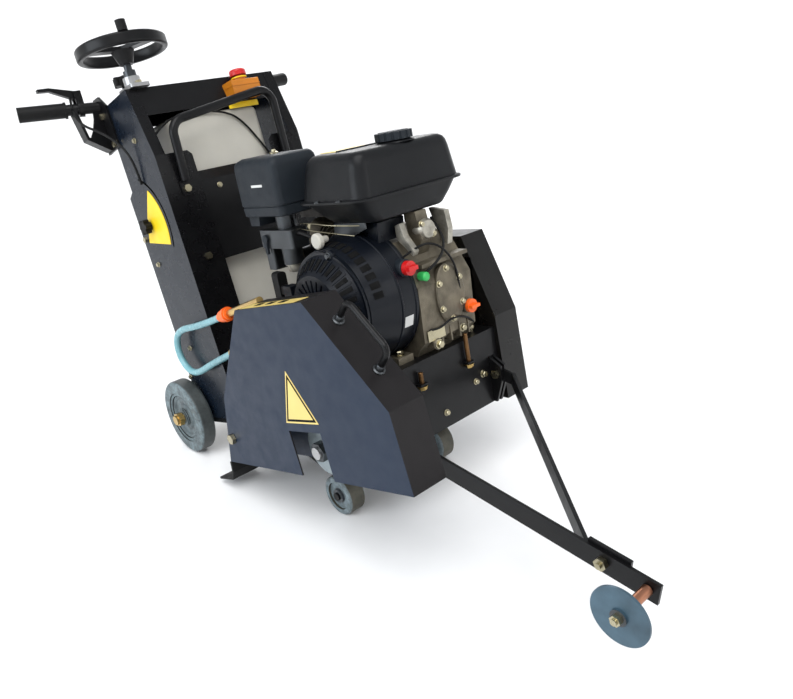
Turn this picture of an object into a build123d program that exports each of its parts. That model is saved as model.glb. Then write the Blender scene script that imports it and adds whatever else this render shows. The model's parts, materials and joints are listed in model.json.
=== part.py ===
from build123d import *
import os
from math import atan2, cos, degrees, pi, radians, sin, sqrt, tan

# Walk-behind concrete saw.  Millimetres, +X forward, +Y to the saw's left, +Z up, floor at Z = 0.
# Parts of the rear frame and guard are drawn in axes leaned back by FRAME degrees about the
# arbor, parts of the engine deck in axes leaned back by DECK degrees.  Both start at the arbor.

FRAME = 13.6
DECK = 5.5
arbor_height = 205.8
shift_x = 71.3

plate_y = 196.0
plate_t = 4.0
rail_y = 192.0
rail_t = 6.0

guard_outer = 274.0
guard_inner = 197.0
guard_t = 3.0

cover_inner = 196.0
cover_outer = 266.0
cover_t = 2.5

rear_axle_u = -616.0
rear_axle_v = 35.0
rear_wheel_r = 95.0
rear_wheel_w = 38.0
rear_wheel_y = 221.0

front_axle_u = -101.0
front_axle_v = -142.0
front_wheel_r = 44.0
front_wheel_w = 40.0
front_right_y = -160.0
front_left_y = 117.0
pivot_u = -330.0
pivot_v = -25.0
pivot_d = 24.0

screw_u = -462.0
screw_y = -161.0
screw_d = 18.0
rim_v = 897.0
rim_r = 94.0
rim_thick = 14.0
rim_height = 26.0
grip_angle = -17.0

crank_u = -41.0
crank_v = 250.0
base_v = 118.0
driven_r = 41.0
drive_r = 32.0
belt_y = (214.0, 230.0, 246.0)
belt_w = 13.0

pointer_u = 97.0
pointer_v = 22.0
lug_y = -157.0
brace_y = 175.0

flange_r = 55.0
nose_d = 25.4
shaft_d = 35.0

os.makedirs("parts", exist_ok=True)


def side(y, pitch):
    """Plane across the saw at y, facing right; x runs forward, y runs up."""
    a = radians(pitch)
    return Plane(origin=(shift_x, y, arbor_height), x_dir=(cos(a), 0, sin(a)), z_dir=(0, -1, 0))


def level(v, pitch):
    """Plane at height v above the arbor, facing up; x runs forward, y runs left."""
    a = radians(pitch)
    o = (shift_x - v * sin(a), 0, arbor_height + v * cos(a))
    return Plane(origin=o, x_dir=(cos(a), 0, sin(a)), z_dir=(-sin(a), 0, cos(a)))


def facing(u, pitch):
    """Plane at distance u ahead of the arbor, facing forward; x runs left, y runs up."""
    a = radians(pitch)
    o = (shift_x + u * cos(a), 0, arbor_height + u * sin(a))
    return Plane(origin=o, x_dir=(0, 1, 0), z_dir=(cos(a), 0, sin(a)))


def point(u, y, v, pitch):
    """World position of a point given in leaned axes."""
    a = radians(pitch)
    return (shift_x + u * cos(a) - v * sin(a), y, arbor_height + u * sin(a) + v * cos(a))


def outline(points):
    """Straight-sided face through the given points, in the current sketch."""
    Polygon(*points, align=None)


def save(builder, name):
    builder.part.label = name
    export_step(builder.part, "parts/" + name + ".step")


# ---------------------------------------------------------------- rear frame

plate_profile = [
    (-398, 22),
    (-398, 650),
    (-438, 806),
    (-575, 800),
    (-575, 600),
    (-598, 588),
    (-598, 84),
    (-652, 66),
    (-652, 6),
    (-590, 2),
    (-540, 22),
]
dial_u = -561.0
dial_v = 503.0
dial_r = 124.0


def lean_back(u0, u1, v0, v1, inset):
    return [(u0, v0), (u1, v1), (u1 - inset, v1), (u0 - inset, v0)]


with BuildPart() as side_plate_right:
    with BuildSketch(side(-plate_y + plate_t, FRAME)):
        outline(plate_profile)
    extrude(amount=plate_t)
    with BuildSketch(side(-plate_y + plate_t, FRAME)):
        with Locations((rear_axle_u, rear_axle_v)):
            Circle(12.1)
        with Locations((dial_u + 30, dial_v + 9)):
            Circle(4.2)
        with Locations((-584, 485)):
            Circle(4.2)
        with BuildLine():
            dial_arc = CenterArc((dial_u, dial_v), dial_r, -24, 94)
        SlotArc(arc=dial_arc, height=6)
    extrude(amount=plate_t, mode=Mode.SUBTRACT)
    with BuildSketch(side(-plate_y + 22 + plate_t, FRAME)):
        outline(lean_back(-398, -438, 650, 806, 3))
    extrude(amount=22)
    with BuildSketch(facing(-401, FRAME)):
        outline([(-plate_y + plate_t, 96), (-106, 96), (-106, 640), (-116, 650), (-plate_y + plate_t, 650)])
    extrude(amount=3)
    with BuildSketch(facing(-401, FRAME)):
        with Locations((-147, 567), (-146, 410)):
            Circle(5.2)
    extrude(amount=3, mode=Mode.SUBTRACT)

with BuildPart() as side_plate_left:
    with BuildSketch(side(plate_y, FRAME)):
        outline(plate_profile)
    extrude(amount=plate_t)
    with BuildSketch(side(plate_y, FRAME)):
        with Locations((rear_axle_u, rear_axle_v)):
            Circle(12.1)
    extrude(amount=plate_t, mode=Mode.SUBTRACT)
    with BuildSketch(side(plate_y - plate_t, FRAME)):
        outline(lean_back(-398, -438, 650, 806, 3))
    extrude(amount=22)
    with BuildSketch(facing(-401, FRAME)):
        outline([(plate_y - plate_t, 96), (106, 96), (106, 640), (116, 650), (plate_y - plate_t, 650)])
    extrude(amount=3)
    with BuildSketch(facing(-401, FRAME)):
        with Locations((137, 581), (146, 410)):
            Circle(5.2)
    extrude(amount=3, mode=Mode.SUBTRACT)

# Folded black plate between the two front flanges, its top edge bent back as a lip.
with BuildPart() as front_cross_plate:
    with BuildSketch(side(plate_y - plate_t - 0.5, FRAME)):
        outline([(-404, 394), (-401, 394), (-401, 578), (-421, 602), (-424, 600), (-404, 577)])
    extrude(amount=2 * (plate_y - plate_t) - 1)
    with BuildSketch(level(590, FRAME)):
        with Locations((-420, -160)):
            Rectangle(50, 100)
    extrude(amount=-210, mode=Mode.SUBTRACT)
    with BuildSketch(level(610, FRAME)):
        with Locations((-420, -160)):
            Rectangle(50, 100)
    extrude(amount=-30, mode=Mode.SUBTRACT)
    with BuildSketch(facing(-410, FRAME)):
        with Locations((137, 581), (146, 410)):
            Circle(7)
    extrude(amount=12, mode=Mode.SUBTRACT)

# Two rails, the arbor plate, a floor under the water tank and the shaft the front wheels swing on.
bearing_profile = [
    (-60, 49),
    (60, 49),
    (60, 36),
    (36, 28),
    (36, -10),
    (0, -38),
    (-36, -10),
    (-36, 28),
    (-60, 36),
]
rail_profile = [(-590, 8), (-440, 8), (-380, -45), (60, -45), (60, 60), (-20, 95), (-590, 95)]
with BuildPart() as chassis_frame:
    for y in (-rail_y + rail_t, rail_y):
        with BuildSketch(side(y, FRAME)):
            outline(rail_profile)
        extrude(amount=rail_t)
    with BuildSketch(level(49, FRAME)):
        with Locations((-10, 0)):
            Rectangle(130, 2 * rail_y - 2 * rail_t)
    extrude(amount=8)
    with BuildSketch(level(91, FRAME)):
        with Locations((-497, 0)):
            Rectangle(186, 2 * rail_y - 2 * rail_t)
    extrude(amount=4)
    with BuildSketch(side(rail_y, FRAME)):
        with Locations((pivot_u, pivot_v)):
            Circle(pivot_d / 2)
    extrude(amount=2 * rail_y)
    with BuildSketch(side(rail_y, FRAME)):
        Circle(26)
    extrude(amount=rail_t, mode=Mode.SUBTRACT)
    with BuildSketch(side(-rail_y + rail_t, FRAME)):
        Circle(26)
    extrude(amount=rail_t, mode=Mode.SUBTRACT)
    with BuildSketch(level(91, FRAME)):
        with Locations((screw_u, screw_y)):
            RectangleRounded(84, 46, 6)
    extrude(amount=4, mode=Mode.SUBTRACT)
    for y in (-90, 78):
        with BuildSketch(side(y, FRAME)):
            outline(bearing_profile)
        extrude(amount=28)
    with BuildSketch(side(rail_y, FRAME)):
        Circle(shaft_d / 2 + 0.05)
    extrude(amount=2 * rail_y, mode=Mode.SUBTRACT)

# Top of the console: a folded sheet between the side plates.
console_skin = [
    (-422, 742),
    (-439, 806),
    (-578, 800),
    (-578, 742),
    (-575.5, 742),
    (-575.5, 797.6),
    (-441, 803.4),
    (-424.6, 742),
]
with BuildPart() as console_panel:
    with BuildSketch(side(plate_y - plate_t - 0.3, FRAME)):
        outline(console_skin)
    extrude(amount=2 * (plate_y - plate_t) - 0.6)
    with BuildSketch(level(790, FRAME)):
        with Locations((screw_u, screw_y)):
            Circle(screw_d / 2 + 3)
    extrude(amount=30, mode=Mode.SUBTRACT)
    with BuildSketch(level(735, FRAME)):
        with Locations((-425, -plate_y + plate_t + 11), (-425, plate_y - plate_t - 11)):
            Rectangle(50, 23)
    extrude(amount=90, mode=Mode.SUBTRACT)

bail_d = 20.0
bail_u = -387.0
bail_bolts = ((-147, 567), (137, 581))
bail_points = [
    point(bail_u, -147, 584, FRAME),
    point(bail_u + 15, -147, 712, FRAME),
    point(bail_u + 11, 135, 757, FRAME),
    point(bail_u, 137, 598, FRAME),
]
with BuildPart() as lifting_bail:
    with BuildLine() as bail_path:
        FilletPolyline(*bail_points, radius=34)
    with BuildSketch(Plane(origin=bail_path.line @ 0, z_dir=bail_path.line % 0)):
        Circle(bail_d / 2)
    sweep()
    with BuildSketch(facing(-398, FRAME)):
        for y, v in bail_bolts:
            with Locations((y, v + 3)):
                RectangleRounded(26, 34, 8)
    extrude(amount=5)
    with BuildSketch(facing(-398, FRAME)):
        with Locations(*bail_bolts):
            Circle(5.2)
    extrude(amount=5, mode=Mode.SUBTRACT)

# ---------------------------------------------------------------- water tank and console items

tank_back = -575.0
tank_front = -430.0
outlet_v = 150.0
tank_y0 = -124.0
tank_y1 = 122.0
with BuildPart() as water_tank:
    with BuildSketch(level(95, FRAME)):
        with Locations(((tank_front + tank_back) / 2, (tank_y0 + tank_y1) / 2)):
            RectangleRounded(tank_front - tank_back, tank_y1 - tank_y0, 22)
    extrude(amount=636)
    top_edges = water_tank.faces().sort_by(Axis.Z)[-1].edges()
    fillet(top_edges, 12)
    with BuildSketch(level(731, FRAME)):
        with Locations((-474, -18)):
            Circle(27)
    extrude(amount=6)
    with BuildSketch(level(108, FRAME)):
        with Locations(((tank_front + tank_back) / 2, (tank_y0 + tank_y1) / 2)):
            RectangleRounded(tank_front - tank_back - 8, tank_y1 - tank_y0 - 8, 18)
    extrude(amount=611, mode=Mode.SUBTRACT)
    with BuildSketch(level(700, FRAME)):
        with Locations((-474, -18)):
            Circle(23)
    extrude(amount=40, mode=Mode.SUBTRACT)
    with BuildSketch(facing(tank_back, FRAME)):
        with Locations((-88, outlet_v)):
            Circle(12)
    extrude(amount=-12)
    with BuildSketch(facing(tank_back + 10, FRAME)):
        with Locations((-88, outlet_v)):
            Circle(7.1)
    extrude(amount=-30, mode=Mode.SUBTRACT)

with BuildPart() as tank_cap:
    with BuildSketch(level(737.3, FRAME)):
        with Locations((-474, -18)):
            RegularPolygon(33, 12)
    extrude(amount=18)
    with BuildSketch(level(755.3, FRAME)):
        with Locations((-474, -18)):
            Circle(24)
    extrude(amount=4)

estop_u = -411.0
estop_y = 81.0
with BuildPart() as estop_box:
    with BuildSketch(side(estop_y + 38, FRAME)):
        outline([(-422.6, 745), (-388, 745), (-388, 786), (-433.5, 786)])
    extrude(amount=76)
    fillet(estop_box.edges().filter_by(Axis.Y), 3)
    with BuildSketch(level(786, FRAME)):
        with Locations((estop_u, estop_y)):
            Circle(15)
    extrude(amount=6)
    with BuildSketch(level(764, FRAME)):
        with Locations((estop_u, estop_y)):
            Circle(8.3)
    extrude(amount=40, mode=Mode.SUBTRACT)

with BuildPart() as estop_button:
    with BuildSketch(level(773, FRAME)):
        with Locations((estop_u, estop_y)):
            Circle(8)
    extrude(amount=26)
    with BuildSketch(level(799, FRAME)):
        with Locations((estop_u, estop_y)):
            Circle(20)
    extrude(amount=14)
    fillet(estop_button.faces().sort_by(Axis.Z)[-1].edges(), 6)

# ---------------------------------------------------------------- depth handwheel and lift

block_bolts = ((screw_u - 29, screw_y), (screw_u + 29, screw_y))
with BuildPart() as bearing_block:
    with BuildSketch(level(807, FRAME)):
        with Locations((screw_u, screw_y)):
            RectangleRounded(76, 46, 6)
    extrude(amount=8)
    with BuildSketch(level(815, FRAME)):
        with Locations((screw_u, screw_y)):
            Circle(19)
    extrude(amount=20)
    with BuildSketch(level(807, FRAME)):
        with Locations((screw_u, screw_y)):
            Circle(screw_d / 2 + 0.05)
    extrude(amount=28, mode=Mode.SUBTRACT)
    with BuildSketch(level(807, FRAME)):
        with Locations(*block_bolts):
            Circle(4.2)
    extrude(amount=8, mode=Mode.SUBTRACT)

grip_u = screw_u + rim_r * cos(radians(grip_angle))
grip_y = screw_y + rim_r * sin(radians(grip_angle))
with BuildPart() as handwheel:
    with BuildSketch(facing(screw_u, FRAME)):
        with Locations((screw_y + rim_r, rim_v)):
            RectangleRounded(rim_thick, rim_height, 5)
    wheel_axis = Axis(point(screw_u, screw_y, 0, FRAME), (-sin(radians(FRAME)), 0, cos(radians(FRAME))))
    revolve(axis=wheel_axis)
    with BuildSketch(level(rim_v - 34, FRAME)):
        with Locations((screw_u, screw_y)):
            Circle(15)
    with BuildSketch(level(rim_v - 4, FRAME)):
        with Locations((screw_u, screw_y)):
            Circle(26)
    loft()
    with BuildSketch(level(rim_v - 5, FRAME)):
        with Locations((screw_u, screw_y)):
            for k in range(3):
                with Locations(Location((0, 0, 0), (0, 0, 30 + 120 * k))):
                    with Locations((rim_r / 2, 0)):
                        Rectangle(rim_r, 24)
    extrude(amount=9)
    with BuildSketch(level(rim_v - 40, FRAME)):
        with Locations((screw_u, screw_y)):
            Circle(screw_d / 2)
    extrude(amount=60, mode=Mode.SUBTRACT)
    with BuildSketch(level(rim_v + rim_height / 2 - 4, FRAME)):
        with Locations((grip_u, grip_y)):
            Circle(6)
    extrude(amount=28)

with BuildPart() as handwheel_grip:
    with BuildSketch(level(rim_v + rim_height / 2 + 0.5, FRAME)):
        with Locations((grip_u, grip_y)):
            Circle(11)
            Circle(6.1, mode=Mode.SUBTRACT)
    extrude(amount=22)

with BuildPart() as lead_screw:
    with BuildSketch(level(70, FRAME)):
        with Locations((screw_u, screw_y)):
            Circle(screw_d / 2)
    extrude(amount=rim_v + 6 - 70)
    with BuildSketch(level(835.3, FRAME)):
        with Locations((screw_u, screw_y)):
            Circle(14)
    extrude(amount=14)

window_v = pivot_v + 132 * tan(radians(28))
with BuildPart() as lift_link:
    with BuildSketch(level(300, FRAME)):
        with Locations((screw_u, screw_y)):
            RectangleRounded(44, 36, 4)
    extrude(amount=30)
    with BuildSketch(level(295, FRAME)):
        with Locations((screw_u, screw_y)):
            Circle(screw_d / 2 + 0.05)
    extrude(amount=40, mode=Mode.SUBTRACT)
    with BuildSketch(side(-142, FRAME)):
        with Locations((screw_u, (window_v + 330) / 2)):
            Rectangle(26, 330 - window_v)
        with Locations((screw_u, window_v)):
            RectangleRounded(78, 62, 6)
            RectangleRounded(56, 38, 4, mode=Mode.SUBTRACT)
    extrude(amount=6)

# ---------------------------------------------------------------- wheels

arm_len = sqrt((front_axle_u - pivot_u) ** 2 + (front_axle_v - pivot_v) ** 2)
arm_angle = degrees(atan2(front_axle_v - pivot_v, front_axle_u - pivot_u))
lever_len = 132 / cos(radians(28))
with BuildPart() as front_carriage:
    with BuildSketch(side(140, FRAME)):
        with Locations((pivot_u, pivot_v)):
            Circle(18)
    extrude(amount=280)
    for y in (95, -126):
        with BuildSketch(side(y, FRAME)):
            with Locations((pivot_u, pivot_v)):
                Circle(26)
            with Locations((front_axle_u, front_axle_v)):
                Circle(20)
            with Locations(((pivot_u + front_axle_u) / 2, (pivot_v + front_axle_v) / 2)):
                Rectangle(arm_len, 34, rotation=arm_angle)
        extrude(amount=8)
    with BuildSketch(side(95, FRAME)):
        with Locations(((pivot_u + front_axle_u) / 2, (pivot_v + front_axle_v) / 2)):
            Circle(12)
    extrude(amount=221)
    with BuildSketch(side(front_left_y + front_wheel_w / 2 + 14, FRAME)):
        with Locations((front_axle_u, front_axle_v)):
            Circle(9)
    extrude(amount=front_left_y - front_right_y + front_wheel_w + 19)
    with BuildSketch(side(-126, FRAME)):
        with Locations((pivot_u - 66, (pivot_v + window_v) / 2)):
            Rectangle(lever_len, 30, rotation=180 - 28)
        with Locations((screw_u, window_v)):
            Circle(15)
    extrude(amount=8)
    with BuildSketch(side(-126, FRAME)):
        with Locations((screw_u, window_v)):
            Circle(6)
    extrude(amount=26)
    with BuildSketch(side(150, FRAME)):
        with Locations((pivot_u, pivot_v)):
            Circle(pivot_d / 2 + 0.05)
    extrude(amount=300, mode=Mode.SUBTRACT)

for name, y in (("front_wheel_right", front_right_y), ("front_wheel_left", front_left_y)):
    with BuildPart() as front_wheel:
        with BuildSketch(side(y + front_wheel_w / 2, FRAME)):
            with Locations((front_axle_u, front_axle_v)):
                Circle(front_wheel_r)
        extrude(amount=front_wheel_w)
        chamfer(front_wheel.edges().filter_by(GeomType.CIRCLE), 3)
        for y0, depth in ((y + front_wheel_w / 2, 5), (y - front_wheel_w / 2 + 5, 5)):
            with BuildSketch(side(y0, FRAME)):
                with Locations((front_axle_u, front_axle_v)):
                    Circle(31)
                    Circle(15, mode=Mode.SUBTRACT)
            extrude(amount=depth, mode=Mode.SUBTRACT)
        with BuildSketch(side(y + front_wheel_w / 2, FRAME)):
            with Locations((front_axle_u, front_axle_v)):
                Circle(9.05)
        extrude(amount=front_wheel_w, mode=Mode.SUBTRACT)
    save(front_wheel, name)

with BuildPart() as rear_axle:
    with BuildSketch(side(rear_wheel_y + rear_wheel_w / 2 + 22, FRAME)):
        with Locations((rear_axle_u, rear_axle_v)):
            Circle(12)
    extrude(amount=2 * (rear_wheel_y + rear_wheel_w / 2 + 22))
    for y in (202.0, -plate_y):
        with BuildSketch(side(y, FRAME)):
            with Locations((rear_axle_u, rear_axle_v)):
                Circle(20)
        extrude(amount=5.5)
    for y in (rear_wheel_y + rear_wheel_w / 2 + 16.3, -rear_wheel_y - rear_wheel_w / 2 - 4.3):
        with BuildSketch(side(y, FRAME)):
            with Locations((rear_axle_u, rear_axle_v)):
                RegularPolygon(18, 6)
        extrude(amount=12)

for name, y in (("rear_wheel_right", -rear_wheel_y), ("rear_wheel_left", rear_wheel_y)):
    with BuildPart() as rear_wheel:
        with BuildSketch(side(y + rear_wheel_w / 2 - 3, FRAME)):
            with Locations((rear_axle_u, rear_axle_v)):
                Circle(66)
        extrude(amount=rear_wheel_w - 6)
        for y0 in (y + rear_wheel_w / 2 - 3, y - 4):
            with BuildSketch(side(y0, FRAME)):
                with Locations((rear_axle_u, rear_axle_v)):
                    Circle(58)
                    Circle(24, mode=Mode.SUBTRACT)
            extrude(amount=12, mode=Mode.SUBTRACT)
        with BuildSketch(side(y + rear_wheel_w / 2, FRAME)):
            with Locations((rear_axle_u, rear_axle_v)):
                with PolarLocations(41, 5):
                    Circle(11)
        extrude(amount=rear_wheel_w, mode=Mode.SUBTRACT)
        with BuildSketch(side(y + rear_wheel_w / 2, FRAME)):
            with Locations((rear_axle_u, rear_axle_v)):
                Circle(20)
        extrude(amount=rear_wheel_w)
        with BuildSketch(side(y + rear_wheel_w / 2, FRAME)):
            with Locations((rear_axle_u, rear_axle_v)):
                Circle(12.05)
        extrude(amount=rear_wheel_w, mode=Mode.SUBTRACT)
        with BuildSketch(side(y + rear_wheel_w / 2, FRAME)):
            with Locations((rear_axle_u, rear_axle_v)):
                Circle(rear_wheel_r)
                Circle(66, mode=Mode.SUBTRACT)
        extrude(amount=rear_wheel_w)
        outer = rear_wheel.edges().filter_by(GeomType.CIRCLE).sort_by(SortBy.RADIUS)[-2:]
        fillet(outer, 7)
    save(rear_wheel, name)

# ---------------------------------------------------------------- blade guard

guard_bolt_u = -295.0
guard_bolt_v = 17.0
guard_profile = [(-112, 300), (125, 300), (283, 105), (286, -44), (-348, -44), (-278, 114)]
with BuildPart() as blade_guard:
    with BuildSketch(side(-guard_inner, FRAME)):
        outline(guard_profile)
    extrude(amount=guard_outer - guard_inner)
    with BuildSketch(side(-guard_inner - guard_t, FRAME)):
        outline(guard_profile)
        offset(amount=-guard_t, kind=Kind.INTERSECTION, mode=Mode.REPLACE)
        with Locations((-30, -43)):
            Rectangle(625, 8)
    extrude(amount=guard_outer - guard_inner - 2 * guard_t, mode=Mode.SUBTRACT)
    with BuildSketch(side(-guard_outer + guard_t, FRAME)):
        outline([(-48, -50), (61, -50), (61, 53), (-48, 51)])
    extrude(amount=guard_t, mode=Mode.SUBTRACT)
    with BuildSketch(side(-guard_inner, FRAME)):
        outline([(-72, -50), (72, -50), (72, 70), (-72, 70)])
    extrude(amount=guard_t, mode=Mode.SUBTRACT)
    with BuildSketch(side(-guard_inner, FRAME)):
        with Locations((guard_bolt_u, guard_bolt_v)):
            Circle(6.2)
    extrude(amount=guard_outer - guard_inner, mode=Mode.SUBTRACT)

handle_d = 12.0
slope = atan2(300 - 105, 283 - 125)
slope_n = (sin(slope), cos(slope))


def on_slope(along, out):
    u = 125 + along * cos(slope) + out * slope_n[0]
    v = 300 - along * sin(slope) + out * slope_n[1]
    return point(u, -235, v, FRAME)


with BuildPart() as guard_handle:
    with BuildLine() as handle_path:
        FilletPolyline(on_slope(60, 0), on_slope(60, 52), on_slope(176, 52), on_slope(176, 0), radius=16)
    with BuildSketch(Plane(origin=handle_path.line @ 0, z_dir=handle_path.line % 0)):
        Circle(handle_d / 2)
    sweep()

flap_profile = [
    (-343, -44),
    (-349, -44),
    (-355, -70),
    (-367, -86),
    (-430, -91),
    (-429, -96),
    (-364, -91),
    (-350, -71),
]
with BuildPart() as splash_flap:
    with BuildSketch(side(-guard_inner - 2, FRAME)):
        outline(flap_profile)
    extrude(amount=guard_outer - guard_inner)

# ---------------------------------------------------------------- arbor and belt drive

with BuildPart() as arbor_shaft:
    with BuildSketch(side(258, FRAME)):
        Circle(shaft_d / 2)
    extrude(amount=258 + 212)
    with BuildSketch(side(-212, FRAME)):
        Circle(flange_r)
    extrude(amount=12)
    with BuildSketch(side(-224, FRAME)):
        Circle(nose_d / 2)
    extrude(amount=36)

with BuildPart() as outer_flange:
    with BuildSketch(side(-224.2, FRAME)):
        Circle(flange_r)
        Circle(nose_d / 2 + 0.1, mode=Mode.SUBTRACT)
        with PolarLocations(40, 2):
            Circle(5, mode=Mode.SUBTRACT)
    extrude(amount=13)
    chamfer(outer_flange.faces().sort_by(Axis.Y)[0].outer_wire().edges(), 2)

with BuildPart() as arbor_nut:
    with BuildSketch(side(-237.4, FRAME)):
        RegularPolygon(18, 6, major_radius=False)
        Circle(nose_d / 2 + 0.05, mode=Mode.SUBTRACT)
    extrude(amount=18)


def pulley(radius, bore, cu, cv):
    """Three-groove V-belt pulley in the belt plane."""
    with BuildPart() as wheel:
        with BuildSketch(side(cover_outer - 10, DECK)):
            with Locations((cu, cv)):
                Circle(radius)
        extrude(amount=52)
        for y in belt_y:
            with BuildSketch(side(y + belt_w / 2, DECK)):
                with Locations((cu, cv)):
                    Circle(radius + 1)
                    Circle(radius - 10, mode=Mode.SUBTRACT)
            extrude(amount=belt_w, mode=Mode.SUBTRACT)
        with BuildSketch(side(cover_outer - 10, DECK)):
            with Locations((cu, cv)):
                Circle(bore)
        extrude(amount=52, mode=Mode.SUBTRACT)
    return wheel


driven_pulley = pulley(driven_r, shaft_d / 2 + 0.02, 0, 0)
drive_pulley = pulley(drive_r, nose_d / 2 + 0.02, crank_u, crank_v)

belt_in = 9.7
belt_out = 1.0
belt_angle = degrees(atan2(crank_v, crank_u))
centres = sqrt(crank_u ** 2 + crank_v ** 2)


def belt_loop(extra):
    """Belt line round both pulleys, drawn as the hull of two circles."""
    with Locations(Location((0, 0, 0))):
        Circle(driven_r + extra)
    with Locations((crank_u, crank_v)):
        Circle(drive_r + extra)
    tilt = radians(belt_angle)
    lean = (driven_r - drive_r) / centres
    corners = []
    for sgn in (1, -1):
        a = tilt + sgn * (pi / 2 - lean)
        near = ((driven_r + extra) * cos(a), (driven_r + extra) * sin(a))
        far = (crank_u + (drive_r + extra) * cos(a), crank_v + (drive_r + extra) * sin(a))
        corners.append((near, far))
    outline([corners[0][0], corners[0][1], corners[1][1], corners[1][0]])


with BuildPart() as drive_belts:
    for y in belt_y:
        with BuildSketch(side(y + belt_w / 2 - 0.5, DECK)):
            belt_loop(belt_out)
        extrude(amount=belt_w - 1)
    for y in belt_y:
        with BuildSketch(side(y + belt_w / 2, DECK)):
            belt_loop(-belt_in)
        extrude(amount=belt_w, mode=Mode.SUBTRACT)

cover_profile = [(96, -47), (89, 142), (23, 316), (-110, 314), (-124, 200), (-92, -47)]
with BuildPart() as belt_cover:
    with BuildSketch(side(cover_outer, DECK)):
        outline(cover_profile)
    extrude(amount=cover_outer - cover_inner)
    with BuildSketch(side(cover_outer - cover_t, DECK)):
        outline(cover_profile)
        offset(amount=-cover_t, kind=Kind.INTERSECTION, mode=Mode.REPLACE)
    extrude(amount=cover_outer - cover_inner - 2 * cover_t, mode=Mode.SUBTRACT)
    with BuildSketch(side(cover_inner + cover_t, DECK)):
        outline([(-66, -24), (42, -24), (42, 270), (-82, 270)])
    extrude(amount=cover_t, mode=Mode.SUBTRACT)

# ---------------------------------------------------------------- engine

with BuildPart() as engine_deck:
    with BuildSketch(level(112, DECK)):
        with Locations((-122, 0)):
            Rectangle(406, 2 * plate_y)
    extrude(amount=6)
    with BuildSketch(facing(75, DECK)):
        with Locations((0, 34)):
            Rectangle(2 * plate_y, 157)
    extrude(amount=6)
    for y in (-rail_y, plate_y):
        with BuildSketch(side(y, DECK)):
            outline([(-325, 113), (76, 113), (76, -44), (52, -44), (10, 46), (-325, 62)])
        extrude(amount=plate_y - rail_y)
    for y in (lug_y + 9.3, lug_y - 3.3, brace_y + 9.3, brace_y - 3.3):
        with BuildSketch(side(y, DECK)):
            outline([(77, -44), (90, -44), (110, 4), (112, 40), (77, 62)])
        extrude(amount=6)
    with BuildSketch(side(plate_y + 4, DECK)):
        with Locations((pointer_u, pointer_v)):
            Circle(6.1)
    extrude(amount=2 * plate_y + 8, mode=Mode.SUBTRACT)
    with BuildSketch(level(110, DECK)):
        with Locations((-120, -44), (42, -44), (-120, 66), (42, 66)):
            SlotOverall(26, 10.6)
    extrude(amount=12, mode=Mode.SUBTRACT)

case_profile = [
    (-128, base_v),
    (58, base_v),
    (66, 132),
    (86, 150),
    (92, 262),
    (40, 352),
    (-60, 366),
    (-110, 330),
    (-130, 240),
]
with BuildPart() as engine_crankcase:
    with BuildSketch(side(138, DECK)):
        outline(case_profile)
    extrude(amount=150)
    with BuildSketch(side(144, DECK)):
        with Locations((crank_u, crank_v)):
            Circle(52)
    extrude(amount=10)
    for u in (-120, 42):
        for y in (-44, 66):
            with BuildSketch(level(base_v, DECK)):
                with Locations((u, y)):
                    Rectangle(34, 40)
            extrude(amount=14)
    with BuildSketch(level(base_v, DECK)):
        with Locations((-120, -44), (42, -44), (-120, 66), (42, 66)):
            Circle(5.2)
    extrude(amount=14, mode=Mode.SUBTRACT)
    with BuildSketch(level(base_v + 14, DECK)):
        with Locations((-120, -44), (-120, 66)):
            Circle(11)
    extrude(amount=40, mode=Mode.SUBTRACT)
    with BuildSketch(level(base_v + 14, DECK)):
        with Locations((42, -44), (42, 66)):
            Circle(11)
    extrude(amount=30, mode=Mode.SUBTRACT)
    with BuildSketch(side(150, DECK)):
        with Locations((crank_u, crank_v)):
            Circle(15.05)
    extrude(amount=180, mode=Mode.SUBTRACT)
    with BuildSketch(side(128, DECK)):
        with Locations((crank_u, crank_v)):
            Circle(66)
    extrude(amount=128, mode=Mode.SUBTRACT)
    with BuildSketch(facing(84, DECK)):
        with Locations((116, 192)):
            Circle(16)
    extrude(amount=14)
    with BuildSketch(facing(60, DECK)):
        with Locations((116, 192)):
            Circle(9.2)
    extrude(amount=60, mode=Mode.SUBTRACT)
    for y0 in (-10, 112):
        with BuildSketch(side(y0 + 22, DECK)):
            outline([(-52, 367.5), (-20, 359.8), (-14, 402), (-50, 402)])
        extrude(amount=22)
    with BuildSketch(level(398, DECK)):
        with Locations((-30, 62)):
            Rectangle(44, 150)
    extrude(amount=5.5)
    with BuildSketch(side(62, DECK)):
        outline([(42, 352.2), (60, 318.7), (78, 350), (70, 403.5), (40, 403.5)])
    extrude(amount=30)

# Cylinder leaning back over the tank side, with cooling fins and the head on its end.
cyl_lean = 25.0
ca = radians(180 - cyl_lean + DECK)
cyl_start = point(crank_u, 62, crank_v, DECK)
cyl_dir = (cos(ca), 0, sin(ca))


def along_cylinder(d):
    return Plane(
        origin=(cyl_start[0] + d * cyl_dir[0], 62, cyl_start[2] + d * cyl_dir[2]),
        x_dir=(0, 1, 0),
        z_dir=cyl_dir,
    )


with BuildPart() as engine_cylinder:
    with BuildSketch(along_cylinder(104)):
        Circle(52)
    extrude(amount=112)
    for k in range(8):
        with BuildSketch(along_cylinder(110 + 11 * k)):
            RectangleRounded(132, 124, 18)
        extrude(amount=3)
    with BuildSketch(along_cylinder(198)):
        RectangleRounded(126, 118, 16)
    extrude(amount=30)
    with BuildSketch(along_cylinder(228)):
        RectangleRounded(96, 88, 14)
    extrude(amount=22)

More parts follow.
